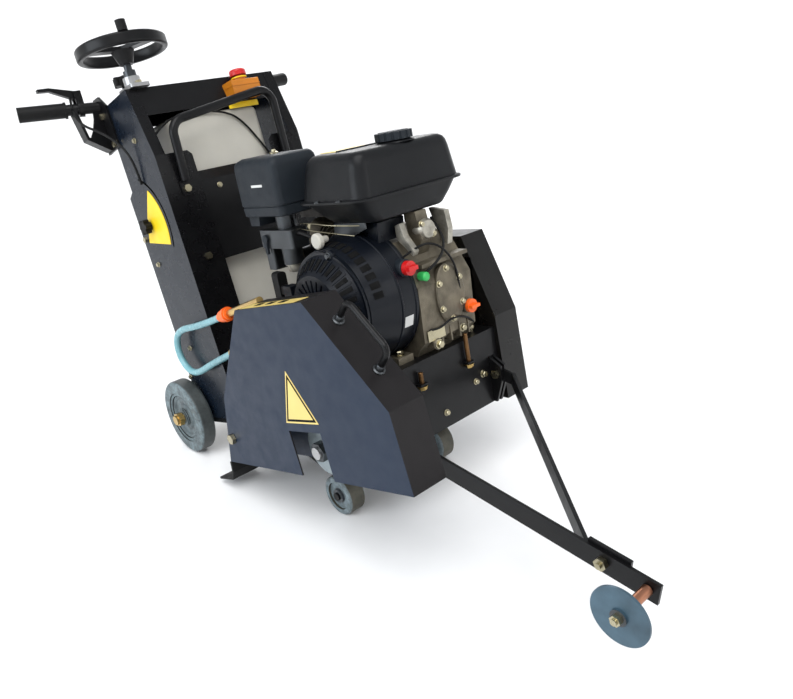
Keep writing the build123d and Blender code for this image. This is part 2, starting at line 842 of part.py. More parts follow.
with BuildPart() as crankshaft:
    with BuildSketch(side(252, DECK)):
        with Locations((crank_u, crank_v)):
            Circle(12.7)
    extrude(amount=108)
    with BuildSketch(side(144, DECK)):
        with Locations((crank_u, crank_v)):
            Circle(15)
    extrude(amount=250)
    with BuildSketch(side(-40, DECK)):
        with Locations((crank_u, crank_v)):
            Circle(95)
    extrude(amount=24)
    for k in range(12):
        with BuildSketch(side(-64, DECK)):
            with Locations((crank_u, crank_v)):
                with Locations(Location((0, 0, 0), (0, 0, 30 * k))):
                    with Locations((72, 0)):
                        Rectangle(34, 4)
        extrude(amount=22)
    with BuildSketch(side(100, DECK)):
        with Locations((crank_u, crank_v)):
            Circle(60)
    extrude(amount=18)
    with BuildSketch(side(44, DECK)):
        with Locations((crank_u, crank_v)):
            Circle(60)
    extrude(amount=18)

with BuildPart() as fan_housing:
    with BuildSketch(side(-13, DECK)):
        with Locations((crank_u, crank_v)):
            Circle(132)
    extrude(amount=45)
    with BuildSketch(side(-58, DECK)):
        with Locations((crank_u, crank_v)):
            Circle(132)
    with BuildSketch(side(-121, DECK)):
        with Locations((crank_u, crank_v)):
            Circle(114)
    loft()
    with BuildSketch(side(-13, DECK)):
        with Locations((crank_u, crank_v)):
            Circle(127)
    extrude(amount=44, mode=Mode.SUBTRACT)
    with BuildSketch(side(-57, DECK)):
        with Locations((crank_u, crank_v)):
            Circle(127)
    with BuildSketch(side(-118, DECK)):
        with Locations((crank_u, crank_v)):
            Circle(109)
    loft(mode=Mode.SUBTRACT)
    with BuildSketch(side(-110, DECK)):
        with Locations((crank_u, crank_v)):
            Circle(92)
    extrude(amount=20, mode=Mode.SUBTRACT)
    with BuildSketch(level(base_v - 4, DECK)):
        with Locations((crank_u, -60)):
            Rectangle(300, 130)
    extrude(amount=4.5, mode=Mode.SUBTRACT)

with BuildPart() as recoil_cover:
    with BuildSketch(side(-121.3, DECK)):
        with Locations((crank_u, crank_v)):
            Circle(112)
    extrude(amount=6)
    with BuildSketch(side(-127.3, DECK)):
        with Locations((crank_u, crank_v)):
            Circle(106)
    with BuildSketch(side(-161, DECK)):
        with Locations((crank_u, crank_v)):
            Circle(74)
    loft()
    with BuildSketch(side(-121.3, DECK)):
        with Locations((crank_u, crank_v)):
            Circle(92)
    with BuildSketch(side(-157, DECK)):
        with Locations((crank_u, crank_v)):
            Circle(66)
    loft(mode=Mode.SUBTRACT)
    for k in range(24):
        with BuildSketch(side(-150, DECK)):
            with Locations((crank_u, crank_v)):
                with Locations(Location((0, 0, 0), (0, 0, 15 * k))):
                    with Locations((48, 0)):
                        Rectangle(34, 5)
        extrude(amount=20, mode=Mode.SUBTRACT)
    with BuildSketch(side(-130, DECK)):
        with Locations((crank_u - 100, crank_v + 34)):
            Rectangle(26, 22)
    extrude(amount=24)

with BuildPart() as recoil_grip:
    with BuildSketch(facing(crank_u - 113.4, DECK)):
        with Locations((-142, crank_v + 34)):
            RectangleRounded(18, 20, 5)
    extrude(amount=-14)
    with BuildSketch(facing(crank_u - 127.4, DECK)):
        with Locations((-142, crank_v + 34)):
            RectangleRounded(22, 76, 8)
    extrude(amount=-22)

tank_u = -19.0
tank_y = 36.0
seam_v = 452.0
with BuildPart() as fuel_tank:
    with BuildSketch(level(seam_v, DECK)):
        with Locations((tank_u, tank_y)):
            RectangleRounded(194, 272, 30)
    with BuildSketch(level(516, DECK)):
        with Locations((tank_u + 12, tank_y)):
            RectangleRounded(168, 252, 30)
    with BuildSketch(level(538, DECK)):
        with Locations((tank_u + 14, tank_y)):
            RectangleRounded(132, 216, 26)
    loft(ruled=True)
    with BuildSketch(level(seam_v - 4, DECK)):
        with Locations((tank_u, tank_y)):
            RectangleRounded(208, 286, 34)
    extrude(amount=5)
    with BuildSketch(level(seam_v - 3, DECK)):
        with Locations((tank_u, tank_y)):
            RectangleRounded(190, 266, 30)
    with BuildSketch(level(404, DECK)):
        with Locations((tank_u + 18, tank_y - 6)):
            RectangleRounded(140, 196, 26)
    loft()
    with BuildSketch(level(537, DECK)):
        with Locations((tank_u + 46, tank_y + 14)):
            Circle(32)
    extrude(amount=4)

with BuildPart() as fuel_cap:
    with BuildSketch(level(541.3, DECK)):
        with Locations((tank_u + 46, tank_y + 14)):
            Circle(37)
            with PolarLocations(37, 16):
                Circle(2.6, mode=Mode.SUBTRACT)
    extrude(amount=15)
    fillet(fuel_cap.faces().sort_by(Axis.Z)[-1].outer_wire().edges(), 1.5)

with BuildPart() as air_cleaner:
    with BuildSketch(level(433, DECK)):
        with Locations((-206, -78)):
            RectangleRounded(146, 112, 12)
    with BuildSketch(level(536, DECK)):
        with Locations((-204, -78)):
            RectangleRounded(152, 116, 14)
    loft()
    with BuildSketch(level(536, DECK)):
        with Locations((-204, -78)):
            RectangleRounded(150, 114, 14)
    with BuildSketch(level(552, DECK)):
        with Locations((-200, -72)):
            RectangleRounded(120, 84, 12)
    loft()
    with BuildSketch(level(412, DECK)):
        with Locations((-258, -100)):
            Rectangle(34, 44)
    extrude(amount=22)

with BuildPart() as carburettor:
    with BuildSketch(level(330, DECK)):
        with Locations((-176, -98)):
            Circle(22)
    extrude(amount=34)
    with BuildSketch(level(364, DECK)):
        with Locations((-198, -96)):
            RectangleRounded(116, 46, 6)
    extrude(amount=38)
    with BuildSketch(level(402, DECK)):
        with Locations((-196, -84)):
            Circle(22)
    extrude(amount=31)
    with BuildSketch(level(316, DECK)):
        with Locations((-241, -94)):
            RectangleRounded(30, 40, 6)
    extrude(amount=60)
    with BuildSketch(side(-1.2, DECK)):
        with Locations((-241, 331)):
            Circle(13)
    extrude(amount=80)
    with BuildSketch(side(-109.5, DECK)):
        with Locations((-232, 384)):
            Circle(3.05)
    extrude(amount=12, mode=Mode.SUBTRACT)

with BuildPart() as muffler:
    with BuildSketch(level(404, DECK)):
        with Locations((-212, 76)):
            RectangleRounded(144, 150, 26)
    extrude(amount=106)
    with BuildSketch(level(400.5, DECK)):
        with Locations((-226, 96)):
            Circle(17)
    extrude(amount=4)
    with BuildSketch(side(151, DECK)):
        with Locations((-250, 470)):
            Circle(16)
            Circle(12, mode=Mode.SUBTRACT)
    extrude(amount=-16)

switch_u = 88.0
switch_at = (-28, 309)
dipstick_at = (116, 192)
with BuildPart() as engine_switch:
    with BuildSketch(facing(switch_u, DECK)):
        with Locations(switch_at):
            Circle(14)
    extrude(amount=12)
    with BuildSketch(facing(switch_u + 12, DECK)):
        with Locations(switch_at):
            Rectangle(24, 8)
    extrude(amount=8)
    with BuildSketch(facing(switch_u, DECK)):
        with Locations(switch_at):
            Circle(4)
    extrude(amount=-8)

with BuildPart() as oil_dipstick:
    with BuildSketch(facing(60, DECK)):
        with Locations(dipstick_at):
            Circle(8.8)
    extrude(amount=38.3)
    with BuildSketch(facing(98.3, DECK)):
        with Locations(dipstick_at):
            Circle(14)
    extrude(amount=8)
    with BuildSketch(facing(106.3, DECK)):
        with Locations(dipstick_at):
            Rectangle(24, 6)
    extrude(amount=10)

# ---------------------------------------------------------------- handles

tube_d = 25.4
root_u = -594.0
root_v = 808.0
tip_du = -45.0
tip_dy = 172.0
tip_dv = 16.0
tip_len = sqrt(tip_du ** 2 + tip_dy ** 2 + tip_dv ** 2)


def handle_plane(sgn, distance):
    """Plane square to the handle tube, at a distance from its root."""
    a = radians(FRAME)
    du = tip_du / tip_len
    dy = sgn * tip_dy / tip_len
    dv = tip_dv / tip_len
    root = point(root_u, sgn * (plate_y + 1), root_v, FRAME)
    d = (du * cos(a) - dv * sin(a), dy, du * sin(a) + dv * cos(a))
    o = tuple(root[i] + distance * d[i] for i in range(3))
    return Plane(origin=o, z_dir=d)


handle_bolts = ((-588, 784), (-566, 716))
clamp_start = 36.0
lever_y = -plate_y - 42
lever_v = 844.0
with BuildPart() as handlebars:
    for sgn in (-1, 1):
        plate = side(-plate_y if sgn < 0 else plate_y + 5, FRAME)
        with BuildSketch(plate):
            outline([(-622, 700), (-552, 706), (-552, 802), (-580, 828), (-612, 828), (-622, 812)])
        extrude(amount=5)
        with BuildSketch(handle_plane(sgn, 1)):
            Circle(tube_d / 2)
        extrude(amount=tip_len - 6)
        with BuildSketch(facing(-618, FRAME)):
            strap = [(200, 706), (200, 716), (246, 743), (256, 812), (263, 812), (252, 738), (206, 706)]
            outline([(sgn * x, y) for x, y in strap])
        extrude(amount=30)
        with BuildSketch(plate):
            with Locations(*handle_bolts):
                Circle(4.2)
        extrude(amount=5, mode=Mode.SUBTRACT)
    with BuildSketch(handle_plane(-1, clamp_start)):
        Circle(tube_d / 2 + 5)
    extrude(amount=12)
    with BuildSketch(facing(-618, FRAME)):
        with Locations((lever_y, lever_v)):
            Circle(3)
    extrude(amount=24)
    for u in (-618, -599.6):
        with BuildSketch(facing(u, FRAME)):
            outline([(-230, 820), (-246, 820), (-247, 852), (-229, 852)])
        extrude(amount=5.6)

with BuildPart() as handle_grips:
    for sgn in (-1, 1):
        with BuildSketch(handle_plane(sgn, 74)):
            Circle(tube_d / 2 + 6)
            Circle(tube_d / 2 + 0.05, mode=Mode.SUBTRACT)
        extrude(amount=5)
        with BuildSketch(handle_plane(sgn, 79)):
            Circle(17)
            Circle(tube_d / 2 + 0.05, mode=Mode.SUBTRACT)
        extrude(amount=tip_len - 79 - 4)
        with BuildSketch(handle_plane(sgn, tip_len - 4)):
            Circle(17)
        extrude(amount=4)

with BuildPart() as throttle_lever:
    with BuildSketch(facing(-612, FRAME)):
        with Locations((lever_y, lever_v)):
            Circle(9)
        outline([(-236, 836), (-236, 852), (-296, 866), (-322, 866), (-322, 859), (-296, 858), (-250, 836)])
    extrude(amount=12)
    with BuildSketch(facing(-616, FRAME)):
        with Locations((lever_y, lever_v)):
            Circle(3.05)
    extrude(amount=30, mode=Mode.SUBTRACT)

with BuildPart() as choke_lever:
    with BuildSketch(side(-119.3, DECK)):
        with Locations((-232, 384)):
            Circle(9)
        outline([(-238, 384), (-226, 384), (-229, 352), (-237, 352)])
    extrude(amount=5)
    with BuildSketch(side(-110, DECK)):
        with Locations((-232, 384)):
            Circle(3)
    extrude(amount=9.5)

# ---------------------------------------------------------------- cut line pointer

pointer_angle = -8.35
arm_root = point(pointer_u, 0, pointer_v, DECK)
arm_length = 572.0
arm_height = 36.0
arm_thick = 6.0
disc_s = 553.0
disc_y = -232.0
disc_r = 47.0
joint_s = 478.0


def arm_side(y):
    """Plane along the pointer arm, facing right; x runs out along the arm."""
    a = radians(pointer_angle)
    return Plane(origin=(arm_root[0], y, arm_root[2]), x_dir=(cos(a), 0, sin(a)), z_dir=(0, -1, 0))


def arm_top(height):
    """Plane over the pointer arm, facing up; x runs out along the arm, y runs left."""
    a = radians(pointer_angle)
    o = (arm_root[0] - height * sin(a), 0, arm_root[2] + height * cos(a))
    return Plane(origin=o, x_dir=(cos(a), 0, sin(a)), z_dir=(-sin(a), 0, cos(a)))


with BuildPart() as pointer_bar:
    with BuildSketch(arm_side(lug_y + arm_thick / 2)):
        outline(
            [
                (0, -13),
                (40, -arm_height / 2),
                (arm_length, -arm_height / 2),
                (arm_length, arm_height / 2),
                (40, arm_height / 2),
                (0, 13),
            ]
        )
        Circle(13)
    extrude(amount=arm_thick)
    with BuildSketch(arm_side(lug_y + arm_thick / 2)):
        Circle(6.1)
        with Locations((joint_s, 0), (disc_s, 0)):
            Circle(5.1)
    extrude(amount=arm_thick, mode=Mode.SUBTRACT)

brace_end = lug_y + arm_thick / 2 + arm_thick
with BuildPart() as pointer_brace:
    with BuildSketch(arm_top(-13)):
        outline(
            [
                (0, brace_y - 3),
                (38, brace_y - 3),
                (joint_s - 36, brace_end - arm_thick),
                (joint_s + 42, brace_end - arm_thick),
                (joint_s + 42, brace_end),
                (joint_s - 32, brace_end),
                (42, brace_y + 3),
                (0, brace_y + 3),
            ]
        )
    extrude(amount=26)
    with BuildSketch(arm_top(0)):
        with Locations((joint_s + 5, brace_end - arm_thick / 2)):
            Rectangle(74, arm_thick)
    extrude(amount=24)
    with BuildSketch(arm_side(brace_y + 3)):
        Circle(13)
    extrude(amount=arm_thick)
    with BuildSketch(arm_side(brace_y + 3)):
        Circle(6.1)
    extrude(amount=arm_thick, mode=Mode.SUBTRACT)
    with BuildSketch(arm_side(brace_end)):
        with Locations((joint_s, 0)):
            Circle(5.1)
    extrude(amount=arm_thick, mode=Mode.SUBTRACT)

with BuildPart() as pointer_bolts:
    with BuildSketch(arm_side(brace_end + 8)):
        with Locations((joint_s, 0)):
            Circle(5)
    extrude(amount=34)
    with BuildSketch(arm_side(brace_end + 8)):
        with Locations((joint_s, 0)):
            RegularPolygon(9, 6)
    extrude(amount=8)
    with BuildSketch(arm_side(lug_y - arm_thick / 2)):
        with Locations((joint_s, 0)):
            RegularPolygon(11, 6)
    extrude(amount=9)
    with BuildSketch(arm_side(lug_y + arm_thick / 2 + 9)):
        with Locations((disc_s, 0)):
            Circle(5)
    extrude(amount=lug_y + arm_thick / 2 + 9 - disc_y + 18)
    with BuildSketch(arm_side(lug_y + arm_thick / 2 + 9)):
        with Locations((disc_s, 0)):
            RegularPolygon(9, 6)
    extrude(amount=9)
    with BuildSketch(arm_side(lug_y - arm_thick / 2)):
        with Locations((disc_s, 0)):
            Circle(8)
    extrude(amount=lug_y - arm_thick / 2 - disc_y - 5.4)
    with BuildSketch(arm_side(disc_y - 5.3)):
        with Locations((disc_s, 0)):
            RegularPolygon(9, 6)
    extrude(amount=9)

with BuildPart() as pointer_disc:
    with BuildSketch(arm_side(disc_y + 2)):
        with Locations((disc_s, 0)):
            Circle(disc_r)
    extrude(amount=4)
    with BuildSketch(arm_side(disc_y + 5)):
        with Locations((disc_s, 0)):
            Circle(12)
    extrude(amount=10)
    with BuildSketch(arm_side(disc_y + 5)):
        with Locations((disc_s, 0)):
            Circle(5.05)
    extrude(amount=10, mode=Mode.SUBTRACT)

# ---------------------------------------------------------------- water line

hose_d = 16.0
hose_points = [
    point(-300, -213, 277, FRAME),
    point(-410, -214, 262, FRAME),
    point(-542, -216, 258, FRAME),
    point(-570, -218, 193, FRAME),
    point(-525, -216, 139, FRAME),
    point(-405, -213, 172, FRAME),
    point(-300, -211, 193, FRAME),
]


def bend_radii(points):
    """Largest smooth radius at each corner, from the shorter run beside it."""
    radii = []
    for i in range(1, len(points) - 1):
        before = Vector(*points[i]) - Vector(*points[i - 1])
        after = Vector(*points[i + 1]) - Vector(*points[i])
        half = radians(before.get_angle(after)) / 2
        radii.append(0.45 * min(before.length, after.length) / tan(half))
    return radii


def cord_tube(points, diameter):
    """Round tube along straight runs joined by tangent arcs; prints its length and tightest bend."""
    radii = bend_radii(points)
    with BuildPart() as tube:
        with BuildLine() as route:
            FilletPolyline(*points, radius=radii)
        with BuildSketch(Plane(origin=route.line @ 0, z_dir=route.line % 0)):
            Circle(diameter / 2)
        sweep()
    length = sum(edge.length for edge in route.edges())
    print("cord", diameter, "length", round(length), "bends", [round(r) for r in radii])
    print("volume over section x length", round(tube.part.volume / (pi * diameter ** 2 / 4 * length), 3))
    return tube


water_hose = cord_tube(hose_points, hose_d)


def pipe_plane(start, towards, distance):
    a = Vector(*start)
    d = (Vector(*towards) - a).normalized()
    return Plane(origin=a + d * distance, z_dir=d)


water_line_clear = [(-278, 114), (-112, 300), (-60, 300), (-60, 114)]
hose_ends = ((hose_points[0], hose_points[1]), (hose_points[-1], hose_points[-2]))
with BuildPart() as hose_coupling:
    with BuildSketch(pipe_plane(*hose_ends[0], 0)):
        Circle(10)
    extrude(amount=-12)
    with BuildSketch(pipe_plane(*hose_ends[0], -12)):
        Circle(13.5)
    extrude(amount=-34)
    with BuildSketch(pipe_plane(*hose_ends[0], -30)):
        Circle(16)
    extrude(amount=-9)

with BuildPart() as guard_water_pipes:
    with BuildSketch(pipe_plane(*hose_ends[0], -46)):
        Circle(8)
    extrude(amount=-140)
    with BuildSketch(pipe_plane(*hose_ends[1], 0)):
        Circle(8)
    extrude(amount=-140)
    with BuildSketch(pipe_plane(*hose_ends[1], 0)):
        Circle(11)
    extrude(amount=-14)
    with BuildSketch(side(-guard_inner, FRAME)):
        with Locations((-165, 240.6)):
            Rectangle(118, 6, rotation=degrees(atan2(186, 166)))
    extrude(amount=34)
    with BuildSketch(side(-190, FRAME)):
        outline(water_line_clear)
    extrude(amount=60, mode=Mode.SUBTRACT)

# ---------------------------------------------------------------- small parts

with BuildPart() as depth_scale:
    with BuildSketch(side(-plate_y, FRAME)):
        with BuildLine():
            a0 = (dial_u + (dial_r - 12) * cos(radians(-24)), dial_v + (dial_r - 12) * sin(radians(-24)))
            a1 = (dial_u + (dial_r - 12), dial_v)
            a2 = (dial_u + (dial_r - 12) * cos(radians(50)), dial_v + (dial_r - 12) * sin(radians(50)))
            ThreePointArc(a0, a1, a2)
            Polyline(a2, (-541, 525), (-568, 475), a0)
        make_face()
    extrude(amount=1.2)
    with BuildSketch(side(-plate_y, FRAME)):
        with Locations((dial_u + 30, dial_v + 9)):
            Circle(4.2)
    extrude(amount=1.2, mode=Mode.SUBTRACT)

with BuildPart() as depth_scale_knob:
    with BuildSketch(side(-plate_y + 9, FRAME)):
        with Locations((dial_u + 30, dial_v + 9)):
            Circle(4)
    extrude(amount=12)
    with BuildSketch(side(-plate_y - 1.5, FRAME)):
        with Locations((dial_u + 30, dial_v + 9)):
            Circle(10)
    extrude(amount=6)
    with BuildSketch(side(-plate_y - 7.5, FRAME)):
        with Locations((dial_u + 30, dial_v + 9)):
            Circle(13)
            with PolarLocations(14, 6):
                Circle(4.5)
    extrude(amount=14)

with BuildPart() as lock_knob:
    with BuildSketch(level(807, FRAME)):
        with Locations((-556, -140)):
            Circle(5)
    extrude(amount=40)
    with BuildSketch(level(812, FRAME)):
        with Locations((-556, -140)):
            RegularPolygon(10, 6)
    extrude(amount=8)
    with BuildSketch(level(840, FRAME)):
        with Locations((-556, -140)):
            Circle(16)
            with PolarLocations(16, 5):
                Circle(6.5)
    extrude(amount=20)


def hex_bolt(plane, at, shank, length, head, height):
    """Bolt with its shank going back from the plane and its head standing on it."""
    with BuildSketch(plane) as shank_face:
        with Locations(at):
            Circle(shank)
    extrude(shank_face.sketch, amount=-length)
    with BuildSketch(plane) as head_face:
        with Locations(at):
            RegularPolygon(head, 6)
    extrude(head_face.sketch, amount=height)


hinge_half = 10.0
jack_bolts = ((50, 158, 46), (18, 168, 14))
with BuildPart() as frame_bolts:
    for at in bail_bolts:
        hex_bolt(facing(-393, FRAME), at, 5, 14, 9, 7)
    hex_bolt(facing(-398, FRAME), (-146, 410), 5, 9, 9, 7)
    hex_bolt(facing(-398, FRAME), (146, 410), 5, 9, 9, 7)
    hex_bolt(side(-plate_y, FRAME), (-584, 485), 4, 9, 7.5, 6)
    for at in handle_bolts:
        hex_bolt(side(-plate_y - 5, FRAME), at, 4, 5, 7.5, 6)
    for at in block_bolts:
        hex_bolt(level(815, FRAME), at, 4, 8, 7.5, 6)
    hex_bolt(
        side(-guard_outer - 1, FRAME),
        (guard_bolt_u, guard_bolt_v),
        6.15,
        guard_outer - rail_y + 1,
        12,
        9,
    )
    for y in (lug_y, brace_y):
        with BuildSketch(side(y + hinge_half, DECK)):
            with Locations((pointer_u, pointer_v)):
                Circle(6)
        extrude(amount=2 * hinge_half)
        for y0 in (y + hinge_half + 6, y - hinge_half + 0.7):
            with BuildSketch(side(y0, DECK)):
                with Locations((pointer_u, pointer_v)):
                    RegularPolygon(10, 6)
            extrude(amount=6.7)
    for u, y, reach in jack_bolts:
        hex_bolt(level(125, DECK), (u, y), 5, 7, 9, 7)
        with BuildSketch(level(132, DECK)):
            with Locations((u, y)):
                Circle(5)
        extrude(amount=reach)

# ---------------------------------------------------------------- write

pieces = {
    "chassis_frame": chassis_frame,
    "side_plate_right": side_plate_right,
    "side_plate_left": side_plate_left,
    "front_cross_plate": front_cross_plate,
    "console_panel": console_panel,
    "lifting_bail": lifting_bail,
    "water_tank": water_tank,
    "water_tank_cap": tank_cap,
    "emergency_stop_box": estop_box,
    "emergency_stop_button": estop_button,
    "bearing_block": bearing_block,
    "depth_handwheel": handwheel,
    "handwheel_grip": handwheel_grip,
    "lead_screw": lead_screw,
    "lift_link": lift_link,
    "front_carriage": front_carriage,
    "rear_axle": rear_axle,
    "blade_guard": blade_guard,
    "guard_handle": guard_handle,
    "splash_flap": splash_flap,
    "arbor_shaft": arbor_shaft,
    "outer_flange": outer_flange,
    "arbor_nut": arbor_nut,
    "driven_pulley": driven_pulley,
    "drive_pulley": drive_pulley,
    "drive_belts": drive_belts,
    "belt_cover": belt_cover,
    "engine_deck": engine_deck,
    "engine_crankcase": engine_crankcase,
    "engine_cylinder": engine_cylinder,
    "crankshaft": crankshaft,
    "fan_housing": fan_housing,
    "recoil_cover": recoil_cover,
    "recoil_grip": recoil_grip,
    "fuel_tank": fuel_tank,
    "fuel_cap": fuel_cap,
    "air_cleaner": air_cleaner,
    "carburettor": carburettor,
    "choke_lever": choke_lever,
    "muffler": muffler,
    "engine_switch": engine_switch,
    "oil_dipstick": oil_dipstick,
    "handlebars": handlebars,
    "handle_grips": handle_grips,
    "throttle_lever": throttle_lever,
    "pointer_bar": pointer_bar,
    "pointer_brace": pointer_brace,
    "pointer_bolts": pointer_bolts,
    "pointer_disc": pointer_disc,
    "water_hose": water_hose,
    "hose_coupling": hose_coupling,
    "guard_water_pipes": guard_water_pipes,
    "depth_scale": depth_scale,
    "depth_scale_knob": depth_scale_knob,
    "lock_knob": lock_knob,
    "frame_bolts": frame_bolts,
}
for name, piece in pieces.items():
    save(piece, name)
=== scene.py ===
import json
from math import cos, pi, radians, sin

import bmesh
import bpy
from mathutils import Matrix, Vector


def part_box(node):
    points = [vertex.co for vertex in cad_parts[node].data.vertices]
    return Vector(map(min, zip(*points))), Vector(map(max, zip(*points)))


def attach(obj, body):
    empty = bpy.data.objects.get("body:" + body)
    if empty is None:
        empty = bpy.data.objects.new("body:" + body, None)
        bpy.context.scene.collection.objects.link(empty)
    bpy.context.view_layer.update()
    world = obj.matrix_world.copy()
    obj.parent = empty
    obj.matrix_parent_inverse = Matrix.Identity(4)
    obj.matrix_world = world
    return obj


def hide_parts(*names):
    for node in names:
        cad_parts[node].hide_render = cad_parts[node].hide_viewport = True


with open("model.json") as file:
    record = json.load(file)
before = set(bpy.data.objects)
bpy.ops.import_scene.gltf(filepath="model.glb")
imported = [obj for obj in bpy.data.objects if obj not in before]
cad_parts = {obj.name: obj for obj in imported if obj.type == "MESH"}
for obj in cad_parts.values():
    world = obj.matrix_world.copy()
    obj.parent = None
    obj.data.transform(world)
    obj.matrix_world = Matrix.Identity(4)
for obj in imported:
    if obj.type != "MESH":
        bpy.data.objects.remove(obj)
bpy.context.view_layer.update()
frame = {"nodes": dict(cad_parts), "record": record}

# FRAME and DECK are the up directions of the leaned rear frame and of the engine deck.  Places on
# them are millimetres forward, left and up of the blade arbor; what Blender gets is in metres.
joints = {j["name"]: j for j in frame["record"]["behaviour"]["joints"]}
ARBOR = Vector(joints["arbor_spin"]["pos_m"])
FRAME = Vector(joints["lift_travel"]["axis"])
DECK = Vector(joints["fuel_cap_turn"]["axis"])
LEFT = Vector((0, 1, 0))


def ahead(up):
    """Forward direction of a leaned frame."""
    return Vector((up.z, 0, -up.x))


def at(u, y, v, up=FRAME):
    """Point given in millimetres along a leaned frame."""
    return Vector((ARBOR.x, 0, ARBOR.z)) + (ahead(up) * u + LEFT * y + up * v) / 1000


def route(up, *places):
    """Points through several places on one leaned frame."""
    return [at(*place, up) for place in places]


# ------------------------------------------------------------------ camera and light

scene = bpy.context.scene
CAMERA_FROM_ARBOR = Vector((1.0996, -0.9775, 0.7135))
CAMERA_RIGHT = Vector((0.6818, 0.7239, -0.1056))
CAMERA_VIEW = Vector((-0.7027, 0.6079, -0.3697))
CAMERA_LENS = 34.83


def aim_camera():
    """Camera at the photo's angle and distance."""
    right = CAMERA_RIGHT.normalized()
    view = CAMERA_VIEW.normalized()
    up = right.cross(view).normalized()
    right = view.cross(up)
    turn = Matrix((right, up, -view)).transposed().to_4x4()
    data = bpy.data.cameras.new("camera")
    data.lens = CAMERA_LENS
    data.sensor_width = 36
    data.sensor_fit = "HORIZONTAL"
    camera = bpy.data.objects.new("camera", data)
    place = Vector((ARBOR.x, 0, ARBOR.z)) + CAMERA_FROM_ARBOR
    camera.matrix_world = Matrix.Translation(place) @ turn
    scene.collection.objects.link(camera)
    scene.camera = camera


def area_light(name, place, target, size, power, color=(1, 1, 1)):
    data = bpy.data.lights.new(name, "AREA")
    data.shape = "RECTANGLE"
    data.size, data.size_y = size
    data.energy = power
    data.color = color
    lamp = bpy.data.objects.new(name, data)
    lamp.location = place
    lamp.rotation_euler = (Vector(target) - Vector(place)).to_track_quat("-Z", "Y").to_euler()
    scene.collection.objects.link(lamp)


def sun_light(name, direction, strength, spread):
    data = bpy.data.lights.new(name, "SUN")
    data.energy = strength
    data.angle = radians(spread)
    lamp = bpy.data.objects.new(name, data)
    lamp.rotation_euler = Vector(direction).to_track_quat("-Z", "Y").to_euler()
    scene.collection.objects.link(lamp)


def light_stage():
    """Pale sky, a soft high sun and three broad lamps."""
    world = bpy.data.worlds.new("studio")
    world.use_nodes = True
    back = world.node_tree.nodes["Background"]
    back.inputs["Color"].default_value = (0.93, 0.96, 1, 1)
    back.inputs["Strength"].default_value = 0.62
    scene.world = world
    scene.view_settings.view_transform = "Standard"
    sun_light("day", (-0.55, 0.5, -1.2), 2.3, 50)
    area_light("side", (-0.6, -3.2, 1.5), (-0.2, 0, 0.4), (2.4, 1.2), 42, (0.86, 0.93, 1))
    area_light("front", (3.2, 0.8, 1.6), (0, 0, 0.4), (1.2, 1.4), 12)
    area_light("rim", (-2.6, 2.2, 2.4), (0, 0, 0.5), (1.5, 1.5), 40)


# ------------------------------------------------------------------ materials

materials = {}
DUST = (0.42, 0.39, 0.34)
# A finish whose brightest channel is below this reflects less, so that black stays black.
DARK = 0.06


class Shader:
    """A Principled material and short ways to add nodes to it."""

    def __init__(self, name):
        self.material = bpy.data.materials.new(name)
        self.material.use_nodes = True
        self.tree = self.material.node_tree
        self.main = self.tree.nodes["Principled BSDF"]
        coord = self.tree.nodes.new("ShaderNodeTexCoord")
        self.place = coord.outputs["Object"]
        materials[name] = self.material

    def node(self, kind, **inputs):
        made = self.tree.nodes.new(kind)
        for key, value in inputs.items():
            self.feed(made.inputs[key.replace("_", " ")], value)
        return made

    def feed(self, socket, value):
        if isinstance(value, bpy.types.NodeSocket):
            self.tree.links.new(value, socket)
        else:
            socket.default_value = value

    def noise(self, scale, detail=3.0, rough=0.55, vector=None):
        made = self.node("ShaderNodeTexNoise", Scale=scale, Detail=detail, Roughness=rough)
        self.feed(made.inputs["Vector"], vector or self.place)
        return made.outputs["Fac"]

    def ramp(self, value, low, high, stops=(0.35, 0.65)):
        made = self.node("ShaderNodeValToRGB")
        self.feed(made.inputs["Fac"], value)
        for stop, place, color in zip(made.color_ramp.elements, stops, (low, high)):
            stop.position = place
            stop.color = (*color, 1)
        return made.outputs["Color"]

    def span(self, value, low, high, start=0.3, end=0.7):
        made = self.node("ShaderNodeMapRange")
        for key, amount in zip(("From Min", "From Max", "To Min", "To Max"), (start, end, low, high)):
            made.inputs[key].default_value = amount
        self.feed(made.inputs["Value"], value)
        return made.outputs["Result"]

    def mix(self, factor, a, b):
        made = self.tree.nodes.new("ShaderNodeMix")
        made.data_type = "RGBA"
        self.feed(made.inputs["Factor"], factor)
        self.feed(made.inputs["A"], a if isinstance(a, bpy.types.NodeSocket) else (*a, 1))
        self.feed(made.inputs["B"], b if isinstance(b, bpy.types.NodeSocket) else (*b, 1))
        return made.outputs["Result"]

    def sideways(self, start=0.35, end=0.75):
        """1 on faces that look across the saw, 0 on the others."""
        facing = self.node("ShaderNodeNewGeometry")
        split = self.node("ShaderNodeSeparateXYZ")
        self.feed(split.inputs["Vector"], facing.outputs["Normal"])
        size = self.node("ShaderNodeMath")
        size.operation = "ABSOLUTE"
        self.feed(size.inputs[0], split.outputs["Y"])
        return self.span(size.outputs["Value"], 0.0, 1.0, start, end)

    def bump(self, height, strength, distance=0.001):
        made = self.node("ShaderNodeBump", Strength=strength, Distance=distance)
        self.feed(made.inputs["Height"], height)
        self.feed(self.main.inputs["Normal"], made.outputs["Normal"])


def shade(color, amount):
    """Colour made lighter or darker."""
    return tuple(min(1, c * amount) for c in color)


